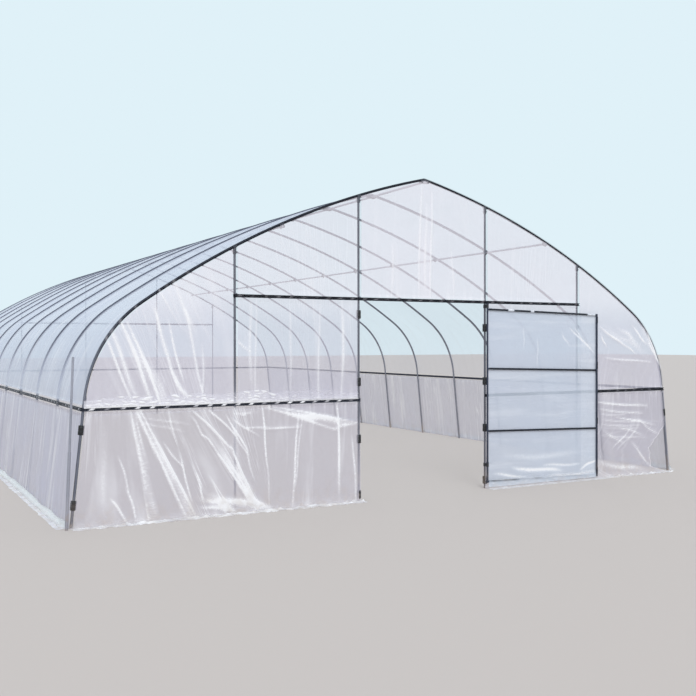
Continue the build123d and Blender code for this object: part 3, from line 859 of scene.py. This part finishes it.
front_left_upper_folds = [
    (3.25, 1.66, 2.99, 1.04, 0.022, 0.009),
    (3.2, 1.7, 2.95, 1.08, 0.04, 0.007),
    (3.1, 1.75, 2.82, 1.04, 0.03, 0.009),
    (3.02, 1.7, 2.74, 1.0, 0.024, 0.010),
    (2.96, 1.5, 2.7, 1.0, 0.09, 0.005),
    (2.79, 1.85, 2.65, 1.28, 0.03, 0.008),
    (2.65, 1.28, 2.5, 1.05, 0.035, 0.009),
    (2.67, 1.7, 2.55, 1.22, 0.02, 0.008),
    (2.52, 1.8, 2.36, 1.1, 0.024, 0.007),
    (2.36, 1.5, 2.36, 1.05, 0.02, 0.005),
    (2.05, 1.58, 1.93, 1.46, 0.02, 0.008),
    (1.91, 1.9, 1.9, 1.2, 0.03, 0.006),
    (1.85, 1.9, 1.86, 1.05, 0.016, 0.006),
    (1.5, 1.85, 1.51, 1.1, 0.02, 0.005),
    (1.2, 1.9, 1.21, 1.0, 0.02, 0.005),
    (0.95, 1.9, 0.96, 1.0, 0.03, 0.006),
]
front_left_upper_folds += random_folds(31, 12, (2.3, 1.5), (3.0, 2.3), 0.42, 0.024, 0.005)
front_left_lower_folds = [
    (2.93, 0.95, 2.47, 0.0, 0.055, 0.0045),
    (2.95, 0.95, 2.52, 0.0, 0.02, 0.013),
    (2.91, 0.95, 2.43, 0.0, 0.018, 0.009),
    (2.99, 0.95, 2.83, 0.02, 0.05, 0.0035),
    (3.0, 0.95, 2.85, 0.02, 0.018, 0.007),
    (2.96, 0.93, 2.79, 0.02, 0.018, 0.006),
    (3.1, 0.55, 3.02, 0.28, 0.018, 0.007),
    (3.16, 0.2, 3.04, 0.02, 0.018, 0.010),
    (3.03, 0.28, 2.96, 0.03, 0.018, 0.009),
    (3.24, 0.8, 3.22, 0.1, 0.05, 0.002),
    (2.71, 0.65, 2.55, 0.45, 0.018, 0.008),
    (2.58, 0.57, 2.47, 0.16, 0.018, 0.009),
    (2.68, 0.95, 2.6, 0.65, 0.018, 0.007),
    (2.42, 0.37, 2.36, 0.15, 0.018, 0.009),
    (2.46, 0.88, 2.35, 0.7, 0.018, 0.007),
    (2.45, 0.93, 2.09, 0.59, 0.02, 0.014),
    (2.36, 0.72, 2.27, 0.63, 0.018, 0.009),
    (2.27, 0.63, 1.91, 0.07, 0.018, 0.010),
    (2.09, 0.59, 1.87, 0.08, 0.02, 0.012),
    (2.16, 0.6, 1.89, 0.08, 0.075, 0.0055),
    (2.29, 0.93, 2.06, 0.71, 0.018, 0.013),
    (2.06, 0.71, 1.94, 0.52, 0.018, 0.007),
    (2.13, 0.87, 1.95, 0.57, 0.018, 0.010),
    (1.95, 0.57, 1.88, 0.3, 0.018, 0.006),
    (2.05, 0.95, 2.03, 0.3, 0.045, 0.0035),
    (2.34, 0.15, 2.05, 0.02, 0.045, 0.009),
    (2.22, 0.16, 1.8, 0.02, 0.06, 0.012),
    (1.98, 0.2, 1.75, 0.02, 0.045, 0.011),
    (2.34, 0.08, 2.1, 0.03, 0.03, 0.010),
    (2.88, 0.85, 2.55, 0.76, 0.018, 0.004),
    (2.86, 0.89, 2.51, 0.82, 0.018, 0.004),
    (2.07, 0.84, 1.84, 0.69, 0.018, 0.006),
    (2.03, 0.89, 1.89, 0.9, 0.018, 0.007),
    (1.795, 0.95, 1.74, 0.41, 0.018, 0.010),
    (1.74, 0.41, 1.72, 0.05, 0.018, 0.005),
    (1.425, 0.84, 1.49, 0.03, 0.02, 0.009),
    (1.39, 0.8, 1.46, 0.2, 0.018, 0.006),
    (1.015, 0.97, 0.985, 0.12, 0.022, 0.011),
    (0.84, 0.6, 0.81, 0.04, 0.022, 0.007),
    (1.76, 0.94, 1.04, 0.715, 0.022, 0.008),
    (1.5, 0.89, 0.98, 0.765, 0.055, 0.010),
    (1.72, 0.95, 0.84, 0.78, 0.018, 0.007),
    (1.04, 0.715, 0.79, 0.77, 0.025, 0.007),
    (1.95, 0.76, 1.41, 0.75, 0.018, 0.008),
]
front_left_fan = (
    [0, 0.155, 0.175, 0.19, 0.28, 0.335, 0.36, 0.41, 0.475, 0.605, 0.75, 0.903, 1],
    [0, 0.244, 0.36, 0.393, 0.45, 0.575, 0.605, 0.625, 0.643, 0.66, 0.73, 0.92, 1],
)
front_right_upper_folds = [
    (2.4, 1.7, 2.74, 1.51, 0.022, 0.014),
    (2.74, 1.51, 2.94, 1.42, 0.022, 0.008),
    (2.72, 1.68, 2.94, 1.55, 0.05, 0.006),
    (2.92, 1.7, 3.1, 1.53, 0.022, 0.010),
    (3.12, 1.72, 3.26, 1.4, 0.024, 0.012),
    (3.26, 1.4, 3.38, 1.2, 0.024, 0.012),
    (2.5, 1.36, 3.17, 1.3, 0.022, 0.007),
    (2.41, 1.6, 2.47, 1.5, 0.02, 0.010),
    (3.17, 1.51, 3.29, 1.34, 0.02, 0.010),
    (3.0, 1.95, 3.2, 1.6, 0.03, 0.006),
    (2.55, 1.68, 3.05, 1.42, 0.08, 0.004),
    (3.05, 1.75, 3.3, 1.35, 0.07, 0.004),
]
front_right_lower_folds = [
    (2.36, 0.85, 3.1, 0.79, 0.022, 0.011),
    (2.4, 0.77, 3.04, 0.7, 0.02, 0.007),
    (2.42, 0.715, 2.8, 0.69, 0.018, 0.005),
    (2.45, 0.65, 2.98, 0.6, 0.018, 0.006),
    (2.43, 0.6, 2.75, 0.57, 0.018, 0.005),
    (2.71, 0.55, 3.04, 0.46, 0.022, 0.006),
    (2.46, 0.52, 2.75, 0.36, 0.022, 0.005),
    (2.82, 0.5, 2.6, 0.33, 0.022, 0.006),
    (2.9, 0.48, 2.66, 0.3, 0.02, 0.004),
    (3.0, 0.62, 3.3, 0.45, 0.022, 0.007),
    (2.9, 0.35, 3.14, 0.12, 0.024, 0.008),
    (2.45, 0.15, 3.0, 0.05, 0.05, 0.007),
]
front_right_lower_folds += random_folds(35, 9, (2.35, 0.45), (2.9, 0.75), 1.65, 0.018, 0.0035)
rear_folds = random_folds(37, 16, (-3.1, 1.1), (-1.8, 1.8), -0.45, 0.026, 0.007)
rear_folds += random_folds(38, 16, (1.8, 1.1), (3.1, 1.8), 0.45, 0.026, 0.007)
rear_low_folds = random_folds(39, 26, (-3.2, 0.1), (3.2, 0.5), 0.3, 0.022, 0.009)
rear_low_folds += random_folds(40, 18, (-3.2, 0.1), (3.2, 0.5), -0.3, 0.022, 0.009)
even_fan = ([0, 0.25, 0.6, 1], [0, 0.33, 0.64, 1])

front = (0, -1, 0)
rear = (0, 1, 0)


def left_haze(x, z):
    """The front left film is clearer between its two posts."""
    return 0.2 * fall_between(x, 1.95, 2.15) * rise_between(z, 1.0, 1.2)


def right_haze(x, z):
    """The front right film is a little clearer high up."""
    return 0.1 * rise_between(z, 1.7, 1.9)


for side, word, folds, seed, haze in (
    (-1, "left", front_left_upper_folds, 41, left_haze),
    (1, "right", front_right_upper_folds, 44, right_haze),
):
    shape = upper_wall(DOOR_EDGE, folds, seed, -1, side, haze)
    sheet = make_sheet(f"front_{word}_upper_sheet", wall_film, evenly(301), upper_rows, shape, front)
    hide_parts(f"front_film_{word}")

for side, word, folds, seed, edge, fan, calm_to, area in (
    (-1, "left", front_left_lower_folds, 47, straight_edge, front_left_fan, 0.0, 3.0),
    (1, "right", front_right_lower_folds, 50, torn_edge, even_fan, 2.36, 2.75),
):
    shape, depth = lower_wall(edge, DOOR_EDGE, fan, folds, seed, -1, side, calm_to)
    sheet = make_sheet(f"front_{word}_lower_sheet", low_film, evenly(341), lower_rows, shape, front)
    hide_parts(f"front_film_{word}")


def top_shape(u, v):
    """Film over the doorway, from the header's rail to the ridge, with an overlap up its middle."""
    line, outwards, _ = arch_line(ROOF_FILM)
    x = (u - 0.5) * 2 * DOOR_EDGE
    low = HEADER_HEIGHT + MOUTH
    top = np.interp(np.abs(x), line[::-1, 0], line[::-1, 1])
    z = low + v * (top - low)
    from_arch = (top - z) * np.interp(np.abs(x), line[::-1, 0], outwards[::-1, 1])
    height, white = wrinkles(x, z, top_folds)
    down = z - low
    gather, gather_white = pleats(x, down, 53)
    calm = fade_in(down, 0.05) * fade_in(from_arch, 0.08)
    offset = tuck(down) + np.abs(height + waves(x, z, 52, 0.2, 0.9) * 0.003) * calm + gather
    middle = -0.012 + 0.03 * (z - 2.07) + 0.006 * np.sin(z * 7)
    band = fall_between(np.abs(x - middle), 0.06, 0.075) * (0.65 - 0.45 * rise_between(z, 2.4, 2.75))
    places = np.c_[x, -HALF_LENGTH - offset, z]
    clear = np.maximum(0.25 * (1 - band), fall_between(from_arch, 0.026, 0.034))
    return places, white + gather_white, np.maximum(clear, fall_between(down, 0.006, 0.014)), np.c_[x, z]


top_folds = [
    (-0.085, 2.0, -0.045, 3.1, 0.018, 0.007),
    (0.062, 2.0, 0.08, 3.05, 0.018, 0.008),
    (0.0, 2.1, 0.01, 2.9, 0.03, 0.005),
    (-0.4, 2.0, -0.38, 2.5, 0.02, 0.005),
    (0.35, 2.0, 0.33, 2.45, 0.02, 0.005),
]
top_rows = 1 - (1 - evenly(91)) ** 1.2
top = make_sheet("front_top_sheet", top_film, evenly(151), top_rows, top_shape, front)
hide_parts("front_film_top")

shape = upper_wall(0.0, rear_folds, 54, 1)
rear_upper = make_sheet("rear_upper_sheet", wall_film, evenly(521), upper_rows, shape, rear)
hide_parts("rear_film")
shape, depth = lower_wall(straight_edge, 0.0, even_fan, rear_low_folds, 56, 1)
rear_lower = make_sheet("rear_lower_sheet", low_film, evenly(521), lower_rows, shape, rear)
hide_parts("rear_film")


# Film behind the bars of the door's leaf, wrapped round its free stile
def leaf_shape(u, v):
    start = 0.024
    reach = LEAF_WIDTH - start
    radius = LEAF_RADIUS + 0.0018
    wrap = 0.026
    run = u * (reach + wrap)
    x = start + np.clip(run, 0, reach)
    past = np.clip(run - reach, 0, None)
    high = LEAF_TOP + radius - LEAF_SAG * x / LEAF_WIDTH
    low = 0.012 + 0.007 * np.abs(ripples(x, 64, 0.08, 0.5, 10))
    z = low + v * (high - low)
    height, white = wrinkles(x, z, leaf_folds)
    calm = fade_in(reach - run, 0.05) * fade_in(run, 0.03)
    soft = waves(x, z, 61, 0.2, 0.9) * 0.0012
    out = radius + np.clip(height * 0.4 + np.abs(soft), 0, 0.0035) * calm
    turn = past / radius
    x_place = DOOR_POST + x + radius * np.sin(turn)
    y_place = HINGE_Y + np.where(past > 0, radius * np.cos(turn), out)
    beyond_post = 0.12 * rise_between(x, OUTER_POST - DOOR_POST + 0.02, OUTER_POST - DOOR_POST + 0.05)
    white = white + beyond_post + 0.3 * fade_in(past, 0.02) + 0.2 * np.exp(-(high - z) / 0.02)
    return np.c_[x_place, y_place, z], white + 0.35 * np.exp(-(z - low) / 0.03), x * 0, np.c_[z, x]


leaf_folds = [
    (0.39, 0.19, 0.99, 0.12, 0.035, 0.012),
    (0.8, 0.19, 1.26, 0.18, 0.025, 0.006),
    (1.34, 0.13, 1.53, 0.2, 0.022, 0.010),
    (0.13, 0.14, 0.5, 0.09, 0.025, 0.008),
    (0.05, 0.06, 0.7, 0.04, 0.03, 0.009),
    (0.9, 0.06, 1.5, 0.07, 0.04, 0.008),
    (1.05, 1.62, 1.13, 1.52, 0.018, 0.006),
    (1.17, 1.69, 1.49, 1.44, 0.018, 0.008),
    (1.24, 1.69, 1.34, 1.56, 0.016, 0.006),
    (0.69, 1.56, 0.69, 1.3, 0.018, 0.003),
    (0.5, 1.67, 0.5, 1.49, 0.018, 0.003),
    (0.3, 0.32, 1.2, 0.29, 0.06, 0.003),
]
leaf_columns = np.concatenate([np.linspace(0, 0.975, 170), np.linspace(0.98, 1, 10)])
leaf_sheet = make_sheet("leaf_cover", leaf_film, leaf_columns, evenly(181), leaf_shape, rear, "door")
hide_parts("door_film")


def leaf_foot_shape(u, v):
    """Film turned up in front of the leaf's lowest bar."""
    x = 0.013 + u * (LEAF_WIDTH - 0.038)
    tall = 0.095 + 0.02 * ripples(x, 66, 0.12, 0.7, 10) - 0.02 * u
    z = 0.013 + 0.006 * np.abs(ripples(x, 64, 0.08, 0.5, 10)) + v * tall
    folds = np.abs(waves(x * 0.25, z, 67, 0.03, 0.09, 14))
    out = LEAF_RADIUS + 0.0022 + 0.0022 * np.clip(folds, 0, 1)
    white = 0.1 + 0.35 * rise_between(folds, 0.5, 1.6)
    return np.c_[DOOR_POST + x, HINGE_Y - out, z], white, 0.9 * rise_between(v, 0.45, 1.0), np.c_[z * 2, x]


leaf_foot = make_sheet("leaf_foot_film", leaf_film, evenly(171), evenly(15), leaf_foot_shape, front, "door")
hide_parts("door_film")


def leaf_lip_shape(u, v):
    """Film folded over the leaf's top bar, seen where it bunches up."""
    x = 0.03 + u * (LEAF_WIDTH - 0.06)
    folds = waves(x, v * 0.02, 68, 0.02, 0.07, 12)
    radius = LEAF_RADIUS + 0.0022 + 0.0012 * np.clip(np.abs(folds), 0, 1.5)
    turn = pi / 2 - v * 2.4
    z = LEAF_TOP - LEAF_SAG * x / LEAF_WIDTH + radius * np.sin(turn)
    bunches = ((0.31, 0.05), (0.6, 0.03), (1.46, 0.08))
    shown = sum(fall_between(np.abs(x - place), 0.6 * half, half) for place, half in bunches)
    white = (0.35 + 0.3 * rise_between(folds, 0.0, 1.4)) * shown
    places = np.c_[DOOR_POST + x, HINGE_Y - radius * np.cos(turn), z]
    return places, white, 0.97 * (1 - shown), np.c_[z * 2, x]


leaf_lip = make_sheet("leaf_top_film", leaf_film, evenly(201), evenly(9), leaf_lip_shape, front, "door")
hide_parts("door_film")


# Loose film that stands up above the front left rail
SURPLUS_START = 0.78


def surplus_shape(u, v):
    length = leg_x(RAIL_HEIGHT) - SURPLUS_START
    along = u * length
    ragged = 0.8 + 0.2 * ripples(along, 71, 0.15, 0.9, 12)
    up = v * 0.13 * np.clip(ragged, 0.5, 1.2) * (0.65 + 0.35 * np.sin(pi * u))
    crinkles = waves(along * 0.3, up, 72, 0.022, 0.07, 18)
    out = RAIL_FRONT + 0.001 - 0.004 * v + 0.006 * np.abs(crinkles) * np.clip(v * 4, 0, 1)
    strong = rise_between(u, 0.2, 0.5)
    creased = 0.25 + 1.1 * rise_between(np.abs(crinkles), 0.4, 1.3)
    white = creased * (0.3 + 0.7 * strong) + 0.8 * np.exp(-up / 0.022)
    places = np.c_[-(SURPLUS_START + along), -HALF_LENGTH - out, RAIL_HEIGHT + 0.01 + up]
    return places, white, 0.3 + 0.3 * (1 - strong), np.c_[up * 2, along]


surplus = make_sheet("surplus_film", wall_film, evenly(261), evenly(19), surplus_shape, front)
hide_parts("front_film_left")


# Film and spring wires in the rails' mouths
RAIL_END = 3.39
RAIL_START = 0.775  # beside the doorway
WIRE_PERIOD = 0.13
WIRE_SWING = 0.0066
WIRE_OUT = 0.0236


def end_rail(wall, height, start, end):
    """Places on a rail of an end wall, from distances along, up and out."""

    def place(along, up, out):
        return np.c_[start + along, along * 0 + wall * (HALF_LENGTH + out), height + up]

    return place, end - start


def side_rail(side):
    def place(along, up, out):
        x = leg_x(RAIL_HEIGHT) + out * cos(LEAN) - up * sin(LEAN)
        return np.c_[side * x, along - HALF_LENGTH, RAIL_HEIGHT + up * cos(LEAN) + out * sin(LEAN)]

    return place, 2 * HALF_LENGTH


# Each rail's last number is how strongly its puffs of film show white, partly a painted highlight.
rails = {
    "front_rail_left": (end_rail(-1, RAIL_HEIGHT, -RAIL_END, -RAIL_START), front, 0.85),
    "front_rail_right": (end_rail(-1, RAIL_HEIGHT, RAIL_START, RAIL_END), front, 0.12),
    "front_header_rail": (end_rail(-1, HEADER_HEIGHT, -HEADER_END, HEADER_END), front, 0.12),
    "rear_header_rail": (end_rail(1, HEADER_HEIGHT, -HEADER_END, HEADER_END), rear, 0.12),
    "rear_rail": (end_rail(1, RAIL_HEIGHT, -RAIL_END, RAIL_END), rear, 0.6),
    "left_side_rail": (side_rail(-1), (-1, 0, 0), 0.45),
    "right_side_rail": (side_rail(1), (1, 0, 0), 0.45),
}
wires = bpy.data.curves.new("spring_wires", "CURVE")
wires.dimensions = "3D"
wires.bevel_depth = 0.0017
wires.bevel_resolution = 1
wires.use_fill_caps = True
for rail, ((place, length), outside, milky_and_sheen) in rails.items():
    along = np.linspace(0.012, length - 0.012, int(length / WIRE_PERIOD * 10))
    swing = WIRE_SWING * np.arcsin(0.93 * np.sin(along / WIRE_PERIOD * 2 * pi)) / np.arcsin(0.93)
    spline = wires.splines.new("POLY")
    spline.points.add(len(along) - 1)
    points = np.c_[place(along, swing, WIRE_OUT), np.ones(len(along))]
    spline.points.foreach_set("co", points.astype(np.float32).ravel())

    # Painted highlight: the puffs of film between the wire's bends show white, partly the film's own
    # whiteness and partly light caught where they bulge.
    def mouth_shape(u, v, place=place, length=length, milky_and_sheen=milky_and_sheen):
        along = u * length
        up = (v - 0.5) * 0.021
        cycle = (along / WIRE_PERIOD + 0.05 - up * 9 + 0.03 * ripples(along, 75, 0.3, 1.4, 8)) % 1.0
        puff = fall_between(np.abs(cycle - 0.5), 0.1, 0.2)
        out = 0.0185 + puff * 0.0085 * (1 - (2 * v - 1) ** 2) + 0.004 * np.abs(2 * v - 1)
        shown = milky_and_sheen * puff * rise_between(ripples(along, 76, 0.3, 0.9, 8), -1.6, 0.4)
        return place(along, up, out), shown, 0.97 * (1 - shown), np.c_[up, along]

    columns = evenly(int(length / WIRE_PERIOD * 13))
    strip = make_sheet(f"gripped_film_{rail}", wall_film, columns, evenly(6), mouth_shape, outside)
add_object("spring_wires", wires, wire_coat)


# Bolts and screws
def turned_to(place, direction):
    turn = Vector(direction).normalized().to_track_quat("Z", "X")
    return Matrix.Translation(place) @ turn.to_matrix().to_4x4()


def add_bolt(maker, place, direction, size, height=0.0045, stub=0.0):
    """A hexagonal head on a washer, with a stub of thread where it is a nut."""
    seat = turned_to(place, direction)
    washer = 0.0014
    layers = [(14, size * 1.35, 0.94, 0, washer), (6, size, 0.94, washer, height)]
    if stub:
        layers.append((10, size * 0.5, 0.88, height, height + stub))
    for segments, radius, taper, low, high in layers:
        bmesh.ops.create_cone(
            maker,
            cap_ends=True,
            segments=segments,
            radius1=radius,
            radius2=radius * taper,
            depth=high - low,
            matrix=seat @ Matrix.Translation((0, 0, (low + high) / 2)),
        )


def finish_maker(maker, name, material, smooth=False):
    for face in maker.faces:
        face.smooth = smooth
    return add_object(name, meshed(maker, name), material, "tunnel")


def roof_place(x):
    """Place and outward direction of the hoop's line at x."""
    index = np.argmin(np.abs(arch[:, 0] - abs(x)))
    side = -1 if x < 0 else 1
    place, outwards = [Vector((side * row[index, 0], 0, row[index, 1])) for row in (arch, arch_out)]
    return place, outwards


UNDER_HOOP = 0.0383  # from a hoop's line in to its clamp's bolts
SIDE_SEAT = 0.0148  # from a leg's line out to the screws of a side rail
END_SEAT = 0.0147  # from an end hoop's line out to the screws of its rails
bolts = bmesh.new()
for y in HOOP_PLACES:
    for side in (-1, 1):
        place, outwards = roof_place(side * SIDE_PURLIN)
        along = Vector((outwards.z, 0, -outwards.x))
        for step in (-0.0172, 0.0172):
            head = place + Vector((0, y, 0)) - outwards * UNDER_HOOP + along * step
            add_bolt(bolts, head, -outwards, 0.0048)
        for reach in (-0.0163, 0.0163):
            add_bolt(bolts, (side * 0.036, y + reach, RIDGE - 0.034), (0, reach, 0), 0.0058, 0.005, 0.004)
for wall in (-1, 1):
    for x in (-OUTER_POST, -DOOR_POST, DOOR_POST, OUTER_POST):
        height = roof_place(x)[0].z - 0.05
        for side in (-1, 1):
            head = (x + side * 0.0161, wall * HALF_LENGTH, height)
            add_bolt(bolts, head, (side, 0, 0), 0.0062, 0.005, 0.005)
finish_maker(bolts, "clamp_bolts", clamp_zinc)

hinge_bolts = bmesh.new()
for height in (1.916, 0.25):
    for side in (-1, 1):
        for rise in (-0.009, 0.009):
            place = (DOOR_POST + side * 0.0035, -HALF_LENGTH - 0.0226, height + rise)
            add_bolt(hinge_bolts, place, (side, 0, 0), 0.0062, 0.005, 0.004)
finish_maker(hinge_bolts, "hinge_bolts", clamp_zinc)

screws = bmesh.new()
for side in (-1, 1):
    for y in HOOP_PLACES:
        x = side * (leg_x(RAIL_HEIGHT) + SIDE_SEAT)
        y = max(min(y, HALF_LENGTH - 0.004), -HALF_LENGTH + 0.004)
        add_bolt(screws, (x, y, RAIL_HEIGHT), (side * cos(LEAN), 0, sin(LEAN)), 0.0042)
for wall, door_side in ((-1, 0.79), (1, 0.78)):
    rail_screws = [(x, RAIL_HEIGHT) for x in (-3.38, -OUTER_POST, -door_side, door_side, OUTER_POST, 3.38)]
    header_screws = [(x, HEADER_HEIGHT) for x in (-OUTER_POST, -0.78, 0.78, OUTER_POST)]
    for x, height in rail_screws + header_screws:
        add_bolt(screws, (x, wall * (HALF_LENGTH + END_SEAT), height), (0, wall, 0), 0.0042)
finish_maker(screws, "rail_screws", clamp_zinc)


# Snap clips over the film at the posts and legs
def add_snap_clip(maker, centre, height, low_turn, high_turn, tilt=0.0):
    """A shell with two ribs that grips a pipe through the film, from one turn to another about the pipe, in
    degrees from the front."""
    shell = bmesh.new()
    length = 0.08
    steps = 18
    for index in range(steps + 1):
        turn = radians(low_turn) + (radians(high_turn) - radians(low_turn)) * index / steps
        radius = 0.0205 + (0.0035 if index in (0, steps) else 0.0)
        shell.verts.new((radius * sin(turn), -radius * cos(turn), -length / 2))
    shell.verts.ensure_lookup_table()
    edges = [shell.edges.new(shell.verts[index : index + 2]) for index in range(steps)]
    levels = (0.004, 0.018, 0.0225, 0.027, 0.053, 0.0575, 0.062, 0.076, 0.08)
    growth = {0.0: 0.97, 0.0225: 1.07, 0.0575: 1.07, length: 0.97}  # drawn in at the ends, ribbed between
    low = 0.0
    for level in levels:
        made = bmesh.ops.extrude_edge_only(shell, edges=edges)
        ring = [item for item in made["geom"] if isinstance(item, bmesh.types.BMVert)]
        edges = [item for item in made["geom"] if isinstance(item, bmesh.types.BMEdge)]
        bmesh.ops.translate(shell, verts=ring, vec=(0, 0, level - low))
        low = level
    for vertex in shell.verts:
        level = round(vertex.co.z + length / 2, 4)
        vertex.co.x *= growth.get(level, 1.0)
        vertex.co.y *= growth.get(level, 1.0)
    bmesh.ops.recalc_face_normals(shell, faces=shell.faces)
    middle = min(shell.faces, key=lambda face: face.calc_center_median().y)
    if middle.normal.y > 0:
        bmesh.ops.reverse_faces(shell, faces=shell.faces)
    bmesh.ops.solidify(shell, geom=shell.faces, thickness=-0.0024)
    spot = Matrix.Translation((centre[0], centre[1], height)) @ Matrix.Rotation(tilt, 4, "Y")
    bmesh.ops.transform(shell, matrix=spot, verts=shell.verts)
    clip = meshed(shell, "clip_shell")
    maker.from_mesh(clip)
    bpy.data.meshes.remove(clip)


clips = bmesh.new()
for height in (1.81, 1.155, 0.6, 0.06):
    add_snap_clip(clips, (-DOOR_POST, -HALF_LENGTH), height, -84, 150)
for height in (1.69, 1.13, 0.64, 0.09):
    add_snap_clip(clips, (DOOR_POST, -HALF_LENGTH), height, -150, 84)
for height in (0.81, 0.19):
    add_snap_clip(clips, (-leg_x(height), -HALF_LENGTH), height, -84, 84, LEAN)
add_snap_clip(clips, (leg_x(0.7), -HALF_LENGTH), 0.7, -84, 84, -LEAN)
snap_clips = finish_maker(clips, "snap_clips", black_clip, smooth=True)
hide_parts("film_clips")

# Floor, backdrop and light
floor_maker = bmesh.new()
bmesh.ops.create_grid(floor_maker, x_segments=1, y_segments=1, size=90.0)
floor_mesh = meshed(floor_maker, "floor")
floor_mesh.materials.append(new_material("pale_floor", Roughness=0.9, Base_Color=(0.58, 0.545, 0.53, 1))[0])
floor = bpy.data.objects.new("floor", floor_mesh)
scene.collection.objects.link(floor)

world = bpy.data.worlds.new("world")
scene.world = world
world.use_nodes = True
sky = world.node_tree
backdrop = feed(sky, sky.nodes["Background"], Color=(0.745, 0.88, 0.94, 1), Strength=1.0)
soft_light = add_node(sky, "Background", Color=(0.97, 0.985, 1.0, 1), Strength=0.78)
rays = add_node(sky, "LightPath")
direct = plus(sky, rays.outputs["Is Camera Ray"], rays.outputs["Is Glossy Ray"])
direct = plus(sky, direct, rays.outputs["Is Transmission Ray"], True)
blend = sky.nodes.new("ShaderNodeMixShader")
sky.links.new(direct, blend.inputs[0])
sky.links.new(soft_light.outputs[0], blend.inputs[1])
sky.links.new(backdrop.outputs[0], blend.inputs[2])
sky.links.new(blend.outputs[0], sky.nodes["World Output"].inputs["Surface"])

sun = bpy.data.lights.new("key_light", "SUN")
sun.energy = 1.25
sun.angle = radians(24)
lamp = bpy.data.objects.new("key_light", sun)
lamp.rotation_euler = (radians(50), 0, radians(-14))
scene.collection.objects.link(lamp)
